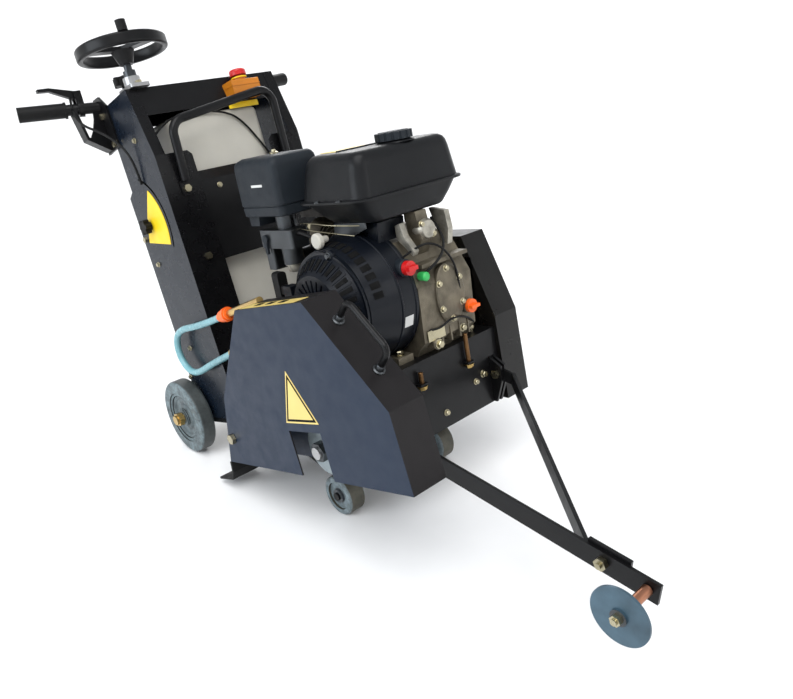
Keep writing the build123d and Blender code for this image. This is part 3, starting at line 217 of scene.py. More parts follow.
def finish(name, color, rough=0.5, metal=0.0, vary=0.12, grain=900.0, relief=0.12, coat=0.0, dust=0.0,
           patch=9.0, deep=0.0004):
    """Painted, moulded or cast surface: patchy tone, uneven gloss, fine grain and a little dust."""
    s = Shader(name)
    broad = s.noise(patch, 4.0)
    tone = s.ramp(broad, shade(color, 1 - vary), shade(color, 1 + vary))
    if dust:
        settled = s.span(s.noise(26.0, 5.0, 0.7), 0.0, dust, 0.45, 0.75)
        tone = s.mix(settled, tone, DUST)
    s.feed(s.main.inputs["Base Color"], tone)
    gloss = s.span(s.noise(34.0, 4.0), rough * 0.8, min(1.0, rough * 1.2))
    s.feed(s.main.inputs["Roughness"], gloss)
    s.main.inputs["Metallic"].default_value = metal
    s.main.inputs["Coat Weight"].default_value = coat
    s.main.inputs["Coat Roughness"].default_value = 0.18
    if max(color) < DARK:
        s.main.inputs["Specular IOR Level"].default_value = 0.2
    s.bump(s.noise(grain, 2.0), relief, deep)
    return s


def radial(name, node, hub, face, tread, edge):
    """Wheel finish: hub tone inside the edge radius, in metres from the axle, then face and tread."""
    s = Shader(name)
    low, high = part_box(node)
    centre = (Vector(low) + Vector(high)) / 2
    shift = s.node("ShaderNodeVectorMath")
    shift.operation = "SUBTRACT"
    s.feed(shift.inputs[0], s.place)
    shift.inputs[1].default_value = centre
    flat = s.node("ShaderNodeVectorMath")
    flat.operation = "MULTIPLY"
    s.feed(flat.inputs[0], shift.outputs[0])
    flat.inputs[1].default_value = (1, 0, 1)
    size = s.node("ShaderNodeVectorMath")
    size.operation = "LENGTH"
    s.feed(size.inputs[0], flat.outputs[0])
    outside = s.span(size.outputs["Value"], 0.0, 1.0, edge - 0.0006, edge + 0.0006)
    grime = s.noise(30.0, 5.0, 0.7)
    inner = s.ramp(grime, shade(hub, 0.6), shade(hub, 1.15))
    # Light patches on the wheel face: partly scuffs and wear, partly painted highlights.
    scuffs_and_highlights = s.ramp(s.noise(44.0, 6.0, 0.75), shade(face, 0.5), shade(face, 2.4), (0.36, 0.68))
    rolled = s.ramp(grime, shade(tread, 0.7), shade(tread, 1.35))
    outer = s.mix(s.sideways(), rolled, scuffs_and_highlights)
    s.feed(s.main.inputs["Base Color"], s.mix(outside, inner, outer))
    s.feed(s.main.inputs["Roughness"], s.span(outside, 0.34, 0.55, 0.0, 1.0))
    s.feed(s.main.inputs["Metallic"], s.span(outside, 0.4, 0.0, 0.0, 1.0))
    s.bump(s.noise(500.0, 3.0), 0.3, 0.0006)
    return s


def facing_light_paint(name, side_color, front_color, rough):
    """Sheet metal with light painted by facing: faces across the saw have one tone and the others a second.
    """
    s = finish(name, side_color, rough, vary=0.05, coat=0.06, relief=0.16, grain=420, patch=3.0)
    # share picks the faces that look across the saw. The difference between the two tones is painted light:
    # a painted reflection on the side plates and painted shade on the guard.
    share = s.sideways()
    tone = s.main.inputs["Base Color"].links[0].from_socket
    other = s.ramp(s.noise(3.0, 4.0), shade(front_color, 0.9), shade(front_color, 1.1))
    s.feed(s.main.inputs["Base Color"], s.mix(share, other, tone))
    return s


def make_materials():
    finish("black paint", (0.0045, 0.0045, 0.005), 0.36, coat=0.06, relief=0.16, grain=420)
    finish("console paint", (0.004, 0.004, 0.0045), 0.38, coat=0.06, relief=0.18, grain=380)
    finish("cover paint", (0.006, 0.0055, 0.005), 0.32, coat=0.14, relief=0.18, grain=300)
    # Side plates are black paint; the bluish tone on their faces across the saw is a painted reflection.
    facing_light_paint("plate paint with painted reflection", (0.0045, 0.008, 0.015), (0.004, 0.004, 0.0045), 0.28)
    # Guard is blue paint on the faces across the saw; the charcoal tone on its forward and upward faces is
    # painted shade.
    facing_light_paint("guard paint with painted shade", (0.011, 0.021, 0.043), (0.011, 0.0095, 0.01), 0.44)
    finish("zinc", (0.42, 0.38, 0.26), 0.3, 1.0, 0.25, 700, 0.1)
    finish("turned steel", (0.42, 0.42, 0.42), 0.34, 1.0, 0.15, 900, 0.1)
    finish("dark steel", (0.07, 0.075, 0.08), 0.34, 0.9, 0.2, 700, 0.15)
    finish("copper plate", (0.33, 0.15, 0.09), 0.36, 1.0, 0.25, 700, 0.15)
    finish("cast alloy", (0.13, 0.112, 0.08), 0.5, 0.55, 0.3, 520, 0.7, patch=30.0, dust=0.06, deep=0.0008)
    finish("engine paint", (0.004, 0.0055, 0.009), 0.34, coat=0.08, relief=0.2, grain=500)
    finish("tank paint", (0.006, 0.0065, 0.0075), 0.42, coat=0.04, relief=0.35, grain=520)
    finish("engine plastic", (0.014, 0.018, 0.023), 0.5, relief=0.5, grain=480, vary=0.12)
    finish("rubber", (0.0055, 0.0055, 0.0055), 0.55, relief=0.5, grain=300, vary=0.25)
    # Flat black: printed marks on the guard, and dark sheets of painted shade in slots and louvres.
    finish("black print and slot shade", (0.002, 0.002, 0.002), 0.8, relief=0.1)
    finish("orange plastic", (0.86, 0.13, 0.01), 0.36, relief=0.15, grain=400)
    finish("amber plastic", (0.52, 0.17, 0.006), 0.42, relief=0.2, grain=400)
    finish("red plastic", (0.55, 0.01, 0.01), 0.33, relief=0.1, grain=400)
    finish("green plastic", (0.03, 0.4, 0.09), 0.4, relief=0.1, grain=400)
    finish("yellow print", (0.86, 0.6, 0.005), 0.42, relief=0.05, grain=500, vary=0.05)
    finish("pale print", (0.72, 0.55, 0.17), 0.45, relief=0.05, grain=500, vary=0.05)
    finish("white print", (0.62, 0.62, 0.6), 0.45, relief=0.05, grain=500, vary=0.05)
    finish("brass", (0.55, 0.38, 0.14), 0.32, 1.0, 0.25, 600, 0.12)
    finish("disc steel", (0.055, 0.1, 0.135), 0.38, 0.35, 0.3, 260, 0.2, patch=14.0)
    finish("muffler", (0.09, 0.085, 0.08), 0.5, 0.8, 0.35, 300, 0.3, patch=30.0)
    milk = finish("milk plastic", (0.52, 0.5, 0.44), 0.42, relief=0.25, grain=240, vary=0.08, patch=5.0)
    milk.main.inputs["Subsurface Weight"].default_value = 0.2
    milk.main.inputs["Subsurface Radius"].default_value = (0.02, 0.018, 0.014)
    hose = finish("hose", (0.17, 0.36, 0.4), 0.27, relief=0.1, grain=260, vary=0.12)
    hose.main.inputs["Subsurface Weight"].default_value = 0.25
    hose.main.inputs["Subsurface Radius"].default_value = (0.004, 0.006, 0.006)
    for side in ("right", "left"):
        radial(f"front wheel {side}", f"front_wheel_{side}", (0.09, 0.1, 0.11), (0.09, 0.115, 0.125),
               (0.062, 0.058, 0.042), 0.017)
        radial(f"rear wheel {side}", f"rear_wheel_{side}", (0.11, 0.13, 0.135), (0.075, 0.1, 0.108),
               (0.045, 0.052, 0.052), 0.02)
    finish("wheel casting", (0.085, 0.11, 0.118), 0.5, 0.2, 0.45, 320, 0.4, patch=38.0)
    finish("flange steel", (0.3, 0.35, 0.37), 0.42, 0.75, 0.2, 400, 0.15, patch=20.0)
    finish("bright alloy", (0.36, 0.34, 0.29), 0.4, 0.75, 0.35, 420, 0.5, patch=40.0)
    finish("dull brass", (0.16, 0.085, 0.035), 0.42, 0.9, 0.3, 500, 0.15, patch=40.0)


NODE_FINISH = {
    "black paint": "chassis_frame front_cross_plate lifting_bail lift_link front_carriage engine_deck "
    "guard_handle handlebars throttle_lever pointer_bar pointer_brace depth_handwheel",
    "console paint": "console_panel",
    "plate paint with painted reflection": "side_plate_right side_plate_left",
    "guard paint with painted shade": "blade_guard",
    "cover paint": "belt_cover",
    "milk plastic": "water_tank",
    "rubber": "water_tank_cap handwheel_grip splash_flap drive_belts recoil_grip handle_grips "
    "depth_scale_knob lock_knob",
    "amber plastic": "emergency_stop_box",
    "red plastic": "emergency_stop_button engine_switch",
    "zinc": "frame_bolts pointer_bolts",
    "turned steel": "bearing_block arbor_shaft driven_pulley drive_pulley crankshaft",
    "dark steel": "lead_screw arbor_nut carburettor",
    "cast alloy": "engine_crankcase engine_cylinder",
    "engine paint": "fan_housing recoil_cover",
    "tank paint": "fuel_tank",
    "engine plastic": "fuel_cap air_cleaner choke_lever",
    "muffler": "muffler",
    "orange plastic": "oil_dipstick hose_coupling",
    "yellow print": "depth_scale",
    "disc steel": "pointer_disc",
    "flange steel": "outer_flange",
    "brass": "guard_water_pipes rear_axle",
    "front wheel right": "front_wheel_right",
    "front wheel left": "front_wheel_left",
    "rear wheel right": "rear_wheel_right",
    "rear wheel left": "rear_wheel_left",
}


def dress(obj, name):
    """Gives a CAD node its finish in its own object's slots."""
    if not obj.material_slots:
        obj.data.materials.append(materials[name])
    for each in obj.material_slots:
        each.link = "OBJECT"
        each.material = materials[name]


def dress_nodes():
    for name, nodes in NODE_FINISH.items():
        for node in nodes.split():
            dress(frame["nodes"][node], name)


# ------------------------------------------------------------------ pieces

def add(name, mesh, material, body, smooth=None):
    """Puts a new mesh in the scene, riding on a body."""
    obj = bpy.data.objects.new(name, mesh)
    scene.collection.objects.link(obj)
    mesh.materials.append(materials[material])
    if smooth is not None:
        for face in mesh.polygons:
            face.use_smooth = True
        mesh.set_sharp_from_angle(angle=radians(smooth))
    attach(obj, body)
    return obj


# ------------------------------------------------------------------ mesh tools

def skin(rings):
    """Closed mesh through rings of equal count, its first and last ring filled."""
    count = len(rings[0])
    points = [p for ring in rings for p in ring]
    faces = []
    for i in range(len(rings) - 1):
        for k in range(count):
            a, b = i * count + k, i * count + (k + 1) % count
            faces.append((a, b, b + count, a + count))
    faces.append(tuple(reversed(range(count))))
    faces.append(tuple(range(len(points) - count, len(points))))
    mesh = bpy.data.meshes.new("piece")
    mesh.from_pydata([tuple(p) for p in points], [], faces)
    made = bmesh.new()
    made.from_mesh(mesh)
    bmesh.ops.recalc_face_normals(made, faces=made.faces)
    made.to_mesh(mesh)
    made.free()
    return mesh


def loop(u, y, v, width, depth, radius, up, steps=6):
    """Rounded rectangle across a leaned frame's up direction."""
    ring = []
    for turn, (su, sy) in enumerate(((1, 1), (-1, 1), (-1, -1), (1, -1))):
        for k in range(steps + 1):
            angle = pi / 2 * (turn + k / steps)
            ring.append(at(u + su * (width / 2 - radius) + radius * cos(angle),
                           y + sy * (depth / 2 - radius) + radius * sin(angle), v, up))
    return ring


def shell(name, sections, up, material, body, smooth=32):
    """Rounded casing through level sections, each given as loop() takes it."""
    rings = [loop(*section, up) for section in sections]
    return add(name, skin(rings), material, body, smooth)


def turned(name, start, axis, profile, material, body, sides=40, smooth=35):
    """Solid of revolution: profile holds (radius, distance along the axis) in millimetres."""
    axis = Vector(axis).normalized()
    across = axis.orthogonal().normalized()
    other = axis.cross(across)
    rings = []
    for radius, distance in profile:
        middle = start + axis * distance / 1000
        radius = max(radius, 0.05) / 1000
        rings.append([middle + (across * cos(2 * pi * k / sides) + other * sin(2 * pi * k / sides)) * radius
                      for k in range(sides)])
    return add(name, skin(rings), material, body, smooth)


def hex_head(name, start, axis, across_flats, height, body, material="zinc"):
    """Hexagon bolt head with a chamfered top, on a washer."""
    r = across_flats / 2 / cos(pi / 6)
    low = 1.6
    washer = [(r * 1.25, 0), (r * 1.25, 1.2), (r * 1.15, low)]
    turned(name + "_washer", start, axis, washer, material, body)
    head = [(r, low), (r, low + height * 0.8), (r * 0.86, low + height)]
    turned(name, start, axis, head, material, body, sides=6, smooth=5)


def tube_curve(name, points, radius, round_steps, long_steps):
    """Round tube along a smooth curve, in metres."""
    curve = bpy.data.curves.new(name, "CURVE")
    curve.dimensions = "3D"
    curve.bevel_depth = radius
    curve.bevel_resolution = round_steps
    curve.resolution_u = long_steps
    curve.use_fill_caps = True
    spline = curve.splines.new("NURBS")
    spline.points.add(len(points) - 1)
    for place, point in zip(points, spline.points):
        point.co = (*place, 1)
    spline.order_u = 3
    spline.use_endpoint_u = True
    return curve


def wire(name, points, diameter, material, body):
    """Small cable fixed along its route, as a tube mesh."""
    curve = tube_curve(name, points, diameter / 2000, 3, 14)
    line = bpy.data.objects.new(name + "_line", curve)
    scene.collection.objects.link(line)
    mesh = bpy.data.meshes.new_from_object(line.evaluated_get(bpy.context.evaluated_depsgraph_get()))
    bpy.data.objects.remove(line)
    return add(name, mesh, material, body, 60)


def slab(name, outline, y0, y1, up, material, body, edge=0.0008, smooth=25):
    """Plate drawn forward and up, from y0 to y1, with its edges bevelled."""
    near = [at(u, y0, v, up) for u, v in outline]
    far = [at(u, y1, v, up) for u, v in outline]
    return bevelled(name, skin([near, far]), material, body, edge, smooth)


def bevelled(name, mesh, material, body, edge=0.0008, smooth=25):
    """Piece whose every edge is rounded by a small bevel."""
    made = bmesh.new()
    made.from_mesh(mesh)
    bmesh.ops.bevel(made, geom=made.edges[:], offset=edge, segments=2, affect="EDGES", profile=0.7)
    made.to_mesh(mesh)
    made.free()
    return add(name, mesh, material, body, smooth)


def block(name, u, y, v, up, material, body, edge=0.0012):
    """Box given by its (low, high) pairs forward, left and up."""
    corners = ((u[0], y[0]), (u[1], y[0]), (u[1], y[1]), (u[0], y[1]))
    low = [at(*corner, v[0], up) for corner in corners]
    high = [at(*corner, v[1], up) for corner in corners]
    return bevelled(name, skin([low, high]), material, body, edge)


# ------------------------------------------------------------------ floor and water hose

def make_floor():
    """Plain floor that sweeps up far behind the saw, so that no horizon shows."""
    profile = [(8, 0), (10.5, 0.15), (12.5, 0.7), (14, 1.7), (15, 3.1), (15.6, 5), (15.8, 7)]
    sides = 96
    rings = [[(r * cos(2 * pi * k / sides), r * sin(2 * pi * k / sides), z - 0.0005) for k in range(sides)]
             for r, z in profile]
    points = [p for ring in rings for p in ring]
    faces = [tuple(range(sides))]
    for i in range(len(rings) - 1):
        for k in range(sides):
            low, side = i * sides + k, i * sides + (k + 1) % sides
            faces.append((low, low + sides, side + sides, side))
    mesh = bpy.data.meshes.new("floor")
    mesh.from_pydata(points, [], faces)
    for face in mesh.polygons:
        face.use_smooth = True
    floor = bpy.data.objects.new("floor", mesh)
    finish("floor", (0.87, 0.87, 0.87), 0.8, relief=0.02, vary=0.01)
    mesh.materials.append(materials["floor"])
    scene.collection.objects.link(floor)


HOSE_DIAMETER = 0.016
HOSE_ROUTE = [
    at(-300, -213, 277),
    at(-410, -214, 262),
    at(-542, -216, 258),
    at(-570, -218, 193),
    at(-525, -216, 139),
    at(-405, -213, 172),
    at(-300, -211, 193),
]


def make_hose():
    """Clear blue water hose, which hangs between its two fittings on the guard."""
    curve = tube_curve("water_hose_line", HOSE_ROUTE, HOSE_DIAMETER / 2, 6, 24)
    hose = bpy.data.objects.new("water_hose_line", curve)
    scene.collection.objects.link(hose)
    curve.materials.append(materials["hose"])
    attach(hose, "guard")
    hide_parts("water_hose")


# ------------------------------------------------------------------ engine

# (forward, up) of the crankshaft and (forward, left) of the fuel tank, its filler and the air cleaner.
CRANK = (-41, 250)
ENGINE_TANK = (-19, 36)
FUEL_FILLER = (ENGINE_TANK[0] + 46, ENGINE_TANK[1] + 14)
AIR_CLEANER = (-205, -78)
TANK_SEAM_V = 453
TANK_TOP_V = 538


def make_fuel_tank():
    """Pressed tank in two halves; each section is forward, left, up, length, width, corner radius."""
    u, y = ENGINE_TANK
    lower = [
        (u + 18, y - 6, 404, 132, 188, 24),
        (u + 17, y - 6, 407, 142, 198, 27),
        (u + 8, y - 3, 425, 166, 232, 29),
        (u, y, 447, 189, 265, 31),
    ]
    seam = [
        (u, y, 447.5, 206, 284, 33),
        (u, y, 449, 208, 286, 34),
        (u, y, 452, 208, 286, 34),
        (u, y, TANK_SEAM_V, 205, 283, 33),
    ]
    upper = [
        (u, y, 454, 194, 272, 29),
        (u + 2, y, 488, 183, 262, 28),
        (u + 4, y, 512, 175, 254, 27),
        (u + 5, y, 524, 169, 248, 26),
        (u + 6, y, 531, 160, 239, 24),
        (u + 6, y, 535.5, 148, 227, 22),
        (u + 7, y, 537.6, 134, 212, 20),
        (u + 8, y, TANK_TOP_V, 60, 140, 20),
    ]
    sections = lower + seam + upper
    tank = shell("fuel_tank_body", sections, DECK, "tank paint", "machine", 40)
    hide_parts("fuel_tank")
    neck = [(40, 0), (39, 2), (34, 2.8), (32, 4.6), (29, 5)]
    filler = at(*FUEL_FILLER, TANK_TOP_V - 2, DECK)
    turned("fuel_filler_neck", filler, DECK, neck, "tank paint", "machine")
    ridge = [(u + 6, y - 40, TANK_TOP_V + 0.2, 8, 120, 3.5), (u + 6, y - 40, TANK_TOP_V + 2.5, 6, 118, 2.8)]
    shell("fuel_tank_ridge", ridge, DECK, "tank paint", "machine")
    plate = [(u - 30, y - 46, TANK_TOP_V + 0.3, 52, 96, 4), (u - 30, y - 46, TANK_TOP_V + 1.2, 50, 94, 3.5)]
    shell("fuel_tank_top_plate", plate, DECK, "pale print", "machine")
    for k, (bolt_u, bolt_y) in enumerate(((92, 10), (92, 90), (-20, -112), (48, -112))):
        place = at(u + 19 + (bolt_u - 19) * 0.985, bolt_y, TANK_SEAM_V, DECK)
        turned(f"tank_flange_bolt_{k}", place, DECK, [(6, 0), (6, 3), (4.5, 4)], "dark steel", "machine",
               sides=6, smooth=5)


def make_fuel_cap():
    start = at(*FUEL_FILLER, TANK_TOP_V + 3.4, DECK) + DECK * 0.0145
    dome = [(30, 0), (29, 1.6), (12, 2.4), (0, 2.5)]
    turned("fuel_cap_top", start, DECK, dome, "engine plastic", "fuel_cap")


def make_air_cleaner():
    u, y = AIR_CLEANER
    base = [
        (u, y, 433, 138, 104, 11),
        (u, y, 435, 144, 110, 12),
        (u, y, 452, 147, 112, 12),
    ]
    groove = [
        (u, y, 453, 143, 108, 10),
        (u, y, 455, 143, 108, 10),
    ]
    cover = [
        (u, y, 456, 149, 114, 13),
        (u, y, 500, 150, 115, 14),
        (u + 1, y, 532, 151, 116, 15),
        (u + 1, y, 541, 148, 113, 15),
        (u + 2, y + 1, 547, 140, 105, 15),
        (u + 3, y + 3, 551, 126, 92, 14),
        (u + 3, y + 3, 552, 70, 50, 10),
    ]
    sections = base + groove + cover
    case = shell("air_cleaner_case", sections, DECK, "engine plastic", "machine")
    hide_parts("air_cleaner")
    foot = [(-275, 412), (-241, 412), (-236, 434), (-276, 434)]
    slab("air_cleaner_foot", foot, y, y - 44, DECK, "engine plastic", "machine", 0.002)
    nut = [(9, 0), (9, 3), (5, 5), (4, 9), (0, 9.5)]
    turned("air_cleaner_wing_nut", at(u + 3, y + 3, 551.5, DECK), DECK, nut, "zinc", "machine")
    label = [(-218, 494), (-178, 494), (-178, 499), (-218, 499)]
    decal("air_cleaner_label", label, -135.6, DECK, "white print", "machine")


def around_crank(angle, radius, y):
    """Point at an angle and radius round the crankshaft."""
    turn = radians(angle)
    return at(CRANK[0] + radius * cos(turn), y, CRANK[1] + radius * sin(turn), DECK)


def louvre(name, angle, spread, inner, outer, material):
    """Short bar lying on the cone of the starter cover, between two (radius, y) ends."""
    foot = [
        around_crank(angle - spread, *inner),
        around_crank(angle + spread, *inner),
        around_crank(angle + spread, *outer),
        around_crank(angle - spread, *outer),
    ]
    middle = around_crank(angle, 0, 60)
    raised = [p + (p - middle).normalized() * 0.0014 for p in foot]
    add(name, skin([foot, raised]), material, "machine")


def make_recoil():
    """Hub, ears, slots and ribs of the starter cover, and the fan housing's louvres, bands and label; the
    slots and louvres are dark bars of painted shade.
    """
    hub = [(30, 0), (30, 3), (27, 4.4), (0, 4.6)]
    turned("recoil_hub", around_crank(0, 0, -157), -LEFT, hub, "engine paint", "machine")
    ear = [(11, 0), (11, 5), (9, 6.5)]
    for k in range(3):
        spot = around_crank(75 + 120 * k, 109, -122)
        turned(f"recoil_ear_{k}", spot, -LEFT, ear, "engine paint", "machine")
        hex_head(f"recoil_bolt_{k}", spot - LEFT * 0.0065, -LEFT, 10, 5, "machine", "dark steel")
    slot_pitch = 11.6
    for k in range(22):
        angle = -30 + slot_pitch * k
        # Dark bars in the starter cover's slots: painted shade.
        louvre(f"recoil_slot_shade_{k}", angle, 2.6, (100.5, -133.2), (83, -151.8), "black print and slot shade")
        louvre(f"recoil_rib_{k}", angle + slot_pitch / 2, 1.1, (103, -130.8), (80, -155), "engine paint")
    for k in range(16):
        # Dark bars in the fan housing's louvres: painted shade.
        louvre(f"fan_housing_slot_shade_{k}", 12 + 9 * k, 3.0, (118.2, -107), (123.4, -88), "black print and slot shade")
    housing_r = 132.4
    band = [(housing_r, -3), (housing_r + 1.6, -1.5), (housing_r + 1.6, 1.5), (housing_r, 3)]
    for y, name in ((-56, "front"), (-20, "rear")):
        turned(f"fan_housing_band_{name}", around_crank(0, 0, y), LEFT, band, "engine paint", "machine",
               sides=96)
    corners = ((-14, -52), (-14, -30), (-24, -30), (-24, -52))
    label = [around_crank(angle, housing_r + 0.7, y) for angle, y in corners]
    out = (around_crank(-19, housing_r + 0.7, -41) - around_crank(0, 0, -41)).normalized()
    raised = [p + out * 0.0004 for p in label]
    add("fan_housing_label", skin([label, raised]), "white print", "machine")


SIDE_COVER = (66, 232)


def egg(angle, across, tall):
    """Point (left, up) on the side cover's outline, which is flatter towards the fan."""
    share = 1.0 if cos(angle) > 0 else 0.75
    return SIDE_COVER[0] + across * cos(angle) * share, SIDE_COVER[1] + tall * sin(angle)


def make_crankcase_front():
    """Cast side cover, ribs, plates and bolts on the crankcase face between fan and belt cover."""
    face = ahead(DECK)
    middle_y, middle_v = SIDE_COVER
    cover = [egg(2 * pi * k / 24, 46, 62) for k in range(24)]
    low = [at(86.5, y, v, DECK) for y, v in cover]
    mid = [at(94, y, v, DECK) for y, v in cover]
    top = [at(96.5, middle_y + (y - middle_y) * 0.93, middle_v + (v - middle_v) * 0.94, DECK)
           for y, v in cover]
    add("crankcase_side_cover", skin([low, mid, top]), "cast alloy", "machine", 30)
    for k in range(6):
        spot = at(95.5, *egg(radians(30 + 60 * k), 38, 52), DECK)
        hex_head(f"side_cover_bolt_{k}", spot, face, 10, 5, "machine")
    for k in range(5):
        y = 8 + 26 * k
        block(f"crankcase_rib_{k}", (66, 89), (y, y + 4), (134, 166), DECK, "cast alloy", "machine",
              0.001)
    block("crankcase_plate", (88.5, 90.2), (-4, 44), (150, 172), DECK, "zinc", "machine",
          0.0004)
    block("crankcase_shelf", (60, 96), (4, 134), (298, 306), DECK, "cast alloy", "machine",
          0.0015)
    boss = [(12, 0), (12, 6), (10, 8)]
    turned("crankcase_drain", at(84, 20, 140, DECK), face, boss, "cast alloy", "machine")
    hex_head("drain_bolt", at(92, 20, 140, DECK), face, 14, 7, "machine")
    hex_head("oil_level_bolt", at(88, 96, 150, DECK), face, 12, 6, "machine")
    for k, (u, y) in enumerate(((-120, -44), (42, -44), (-120, 66), (42, 66))):
        hex_head(f"engine_mount_bolt_{k}", at(u, y, 132, DECK), DECK, 14, 8, "machine")


def make_engine_controls():
    """Fuel strainer, float bowl, rods, shroud and bright castings under the fuel tank."""
    strainer = [(6, -24), (9, -6), (15.5, -5), (15.5, 3), (13, 5), (0, 5.2)]
    turned("fuel_strainer", at(-54, -118, 381, DECK), -LEFT, strainer, "milk plastic", "machine")
    bowl = [(11, 0), (15, 2), (16.5, 6), (16.5, 15), (20, 16), (20, 18.2)]
    turned("float_bowl", at(-176, -98, 312, DECK), DECK, bowl, "bright alloy", "machine")
    pipe = route(DECK, (-54, -112, 381), (-84, -116, 392), (-118, -112, 398), (-140, -100, 392))
    wire("fuel_pipe", pipe, 7, "rubber", "machine")
    throttle = route(DECK, (-150, -84, 408), (-96, -96, 412), (-30, -92, 404), (14, -60, 398))
    wire("throttle_rod", throttle, 2.4, "zinc", "machine")
    governor = route(DECK, (-146, -92, 400), (-70, -104, 396), (20, -84, 384))
    wire("governor_rod", governor, 2.0, "zinc", "machine")
    shroud = [(-96, 362), (-40, 371), (34, 358), (40, 398), (20, 402), (-96, 402)]
    slab("cylinder_shroud", shroud, 30, -40, DECK, "engine paint", "machine", 0.003)
    bracket = [(-70, 384), (-10, 378), (30, 392), (30, 404), (-66, 402)]
    slab("control_bracket", bracket, -62, -59, DECK, "dark steel", "machine")
    near = [(44, 384), (58, 388), (66, 362), (88, 334), (82, 324), (60, 344), (44, 356)]
    slab("alloy_bracket_near", near, -2, 12, DECK, "bright alloy", "machine", 0.002)
    far = [(40, 398), (84, 392), (88, 356), (80, 324), (60, 330), (54, 360)]
    slab("alloy_bracket_far", far, 98, 112, DECK, "bright alloy", "machine", 0.002)
    elbow = [(20, -8), (21, 0), (21, 14), (17, 20), (0, 21)]
    turned("alloy_elbow", at(62, 52, 366, DECK), ahead(DECK), elbow, "bright alloy", "machine")
    for k, (y, v) in enumerate(((38, 378), (66, 354))):
        hex_head(f"elbow_bolt_{k}", at(76, y, v, DECK), ahead(DECK), 10, 5, "machine")


def make_engine_wiring():
    """Switch base, spark plug cap and the three wires that show on the crankcase."""
    switch = at(88, -28, 309, DECK) - ahead(DECK) * 0.03
    base = [(16, 0), (17, 6), (17, 27), (15, 29.5)]
    turned("switch_base", switch, ahead(DECK), base, "engine plastic", "machine")
    cap = [(8, 0), (9, 6), (9, 18), (6, 21)]
    turned("spark_plug_cap", at(86, 4, 284, DECK), ahead(DECK), cap, "green plastic", "machine")
    switch_wire = route(DECK, (60, -20, 320), (92, 10, 346), (104, 44, 340), (104, 78, 306), (98, 96, 262),
                        (92, 100, 214))
    wire("switch_wire", switch_wire, 4.5, "rubber", "machine")
    plug_lead = route(DECK, (88, 6, 284), (108, 26, 300), (106, 60, 322), (84, 84, 352), (50, 92, 380))
    wire("plug_lead", plug_lead, 5.5, "rubber", "machine")
    lower_wire = route(DECK, (70, -10, 176), (98, 14, 168), (102, 56, 186), (98, 108, 172), (84, 134, 150))
    wire("lower_wire", lower_wire, 4.5, "rubber", "machine")


# ------------------------------------------------------------------ guard

GUARD_SIDE_Y = -274
GUARD_TOP_V = 300
SLOPE_START = (125, GUARD_TOP_V)
SLOPE_RUN = (158, -195)


def decal(name, outline, y, up, material, body, thick=0.35):
    """Printed sheet that stands a little proud of a side face."""
    return slab(name, outline, y, y - thick, up, material, body, 0.0001, 5)


def inset(outline, share):
    """The outline drawn in towards its middle by a share of the way."""
    middle = (sum(p[0] for p in outline) / len(outline), sum(p[1] for p in outline) / len(outline))
    return [(x + (middle[0] - x) * share, y + (middle[1] - y) * share) for x, y in outline]


def sheet(name, corners, v, thick, material, body):
    """Thin sheet lying on a level face of the leaned frame; thick is in metres."""
    low = [at(u, y, v) for u, y in corners]
    add(name, skin([low, [p + FRAME * thick for p in low]]), material, body)


def make_guard_details():
    """Plain triangle, handle feet and the marked plate on the guard's top."""
    triangle = [(6, 175), (-47, 68), (66, 71)]
    for k, (share, tone) in enumerate(((0.0, "pale print"), (0.1, "black print and slot shade"), (0.24, "pale print"))):
        outline = inset(triangle, share)
        decal(f"guard_mark_{k}", outline, GUARD_SIDE_Y - 0.25 * k, FRAME, tone, "guard")
    along = Vector(SLOPE_RUN).normalized()
    outward = (ahead(FRAME) * -SLOPE_RUN[1] + FRAME * SLOPE_RUN[0]).normalized()
    foot_profile = [(11, 0), (11, 2.4), (8.4, 4), (7.6, 12), (6.4, 14)]
    for k, distance in enumerate((60, 176)):
        foot = at(SLOPE_START[0] + along.x * distance, -235, SLOPE_START[1] + along.y * distance)
        turned(f"guard_handle_foot_{k}", foot, outward, foot_profile, "dark steel", "guard",
               sides=24)
    plate = ((-100, -270), (96, -270), (96, -236), (-100, -236))
    sheet("guard_top_plate", plate, GUARD_TOP_V + 0.3, 0.0006, "pale print", "guard")
    field = ((-92, -264), (84, -264), (84, -242), (-92, -242))
    sheet("guard_top_plate_field", field, GUARD_TOP_V + 1, 0.0003, "pale print", "guard")
    for k, u in enumerate((-56, -14, 30)):
        mark = ((u, -262), (u + 22, -262), (u + 16, -244), (u - 6, -244))
        sheet(f"guard_top_mark_{k}", mark, GUARD_TOP_V + 1.5, 0.0003, "black print and slot shade", "guard")


# ------------------------------------------------------------------ frame, deck, pointer and wheels

DIAL = (-561, 503)
SLOT_RADII = (118, 130)
TANK_FACE_U = -424
GUSSET_U = -588.5
STOP_BOX_U = (-423.2, -386.8)
STOP_BOX_Y = (41.8, 120.2)
STOP_BOX_SEAM_V = (772, 774.4)
FRONT_PLATE_U = 81
REAR_AXLE = (-616, 35)
REAR_WHEEL_Y = 221
POINTER_PITCH = -8.35


def make_cables():
    """Throttle cable down the right side plate and stop cable across the water tank."""
    throttle = route(FRAME, (-606, -252, 846), (-600, -262, 812), (-574, -262, 770), (-540, -236, 742),
                     (-508, -212, 700), (-494, -203, 650), (-500, -200.5, 606))
    wire("throttle_cable", throttle, 6, "rubber", "machine")
    across = ((-110, 731), (-38, 735), (32, 722), (66, 695), (98, 640), (116, 604), (122, 560), (122, 540))
    stop = route(FRAME, (-462, -182, 672), (-436, -172, 690), (-425, -147, 713),
                 *[(TANK_FACE_U, y, v) for y, v in across])
    wire("stop_cable", stop, 5, "rubber", "machine")


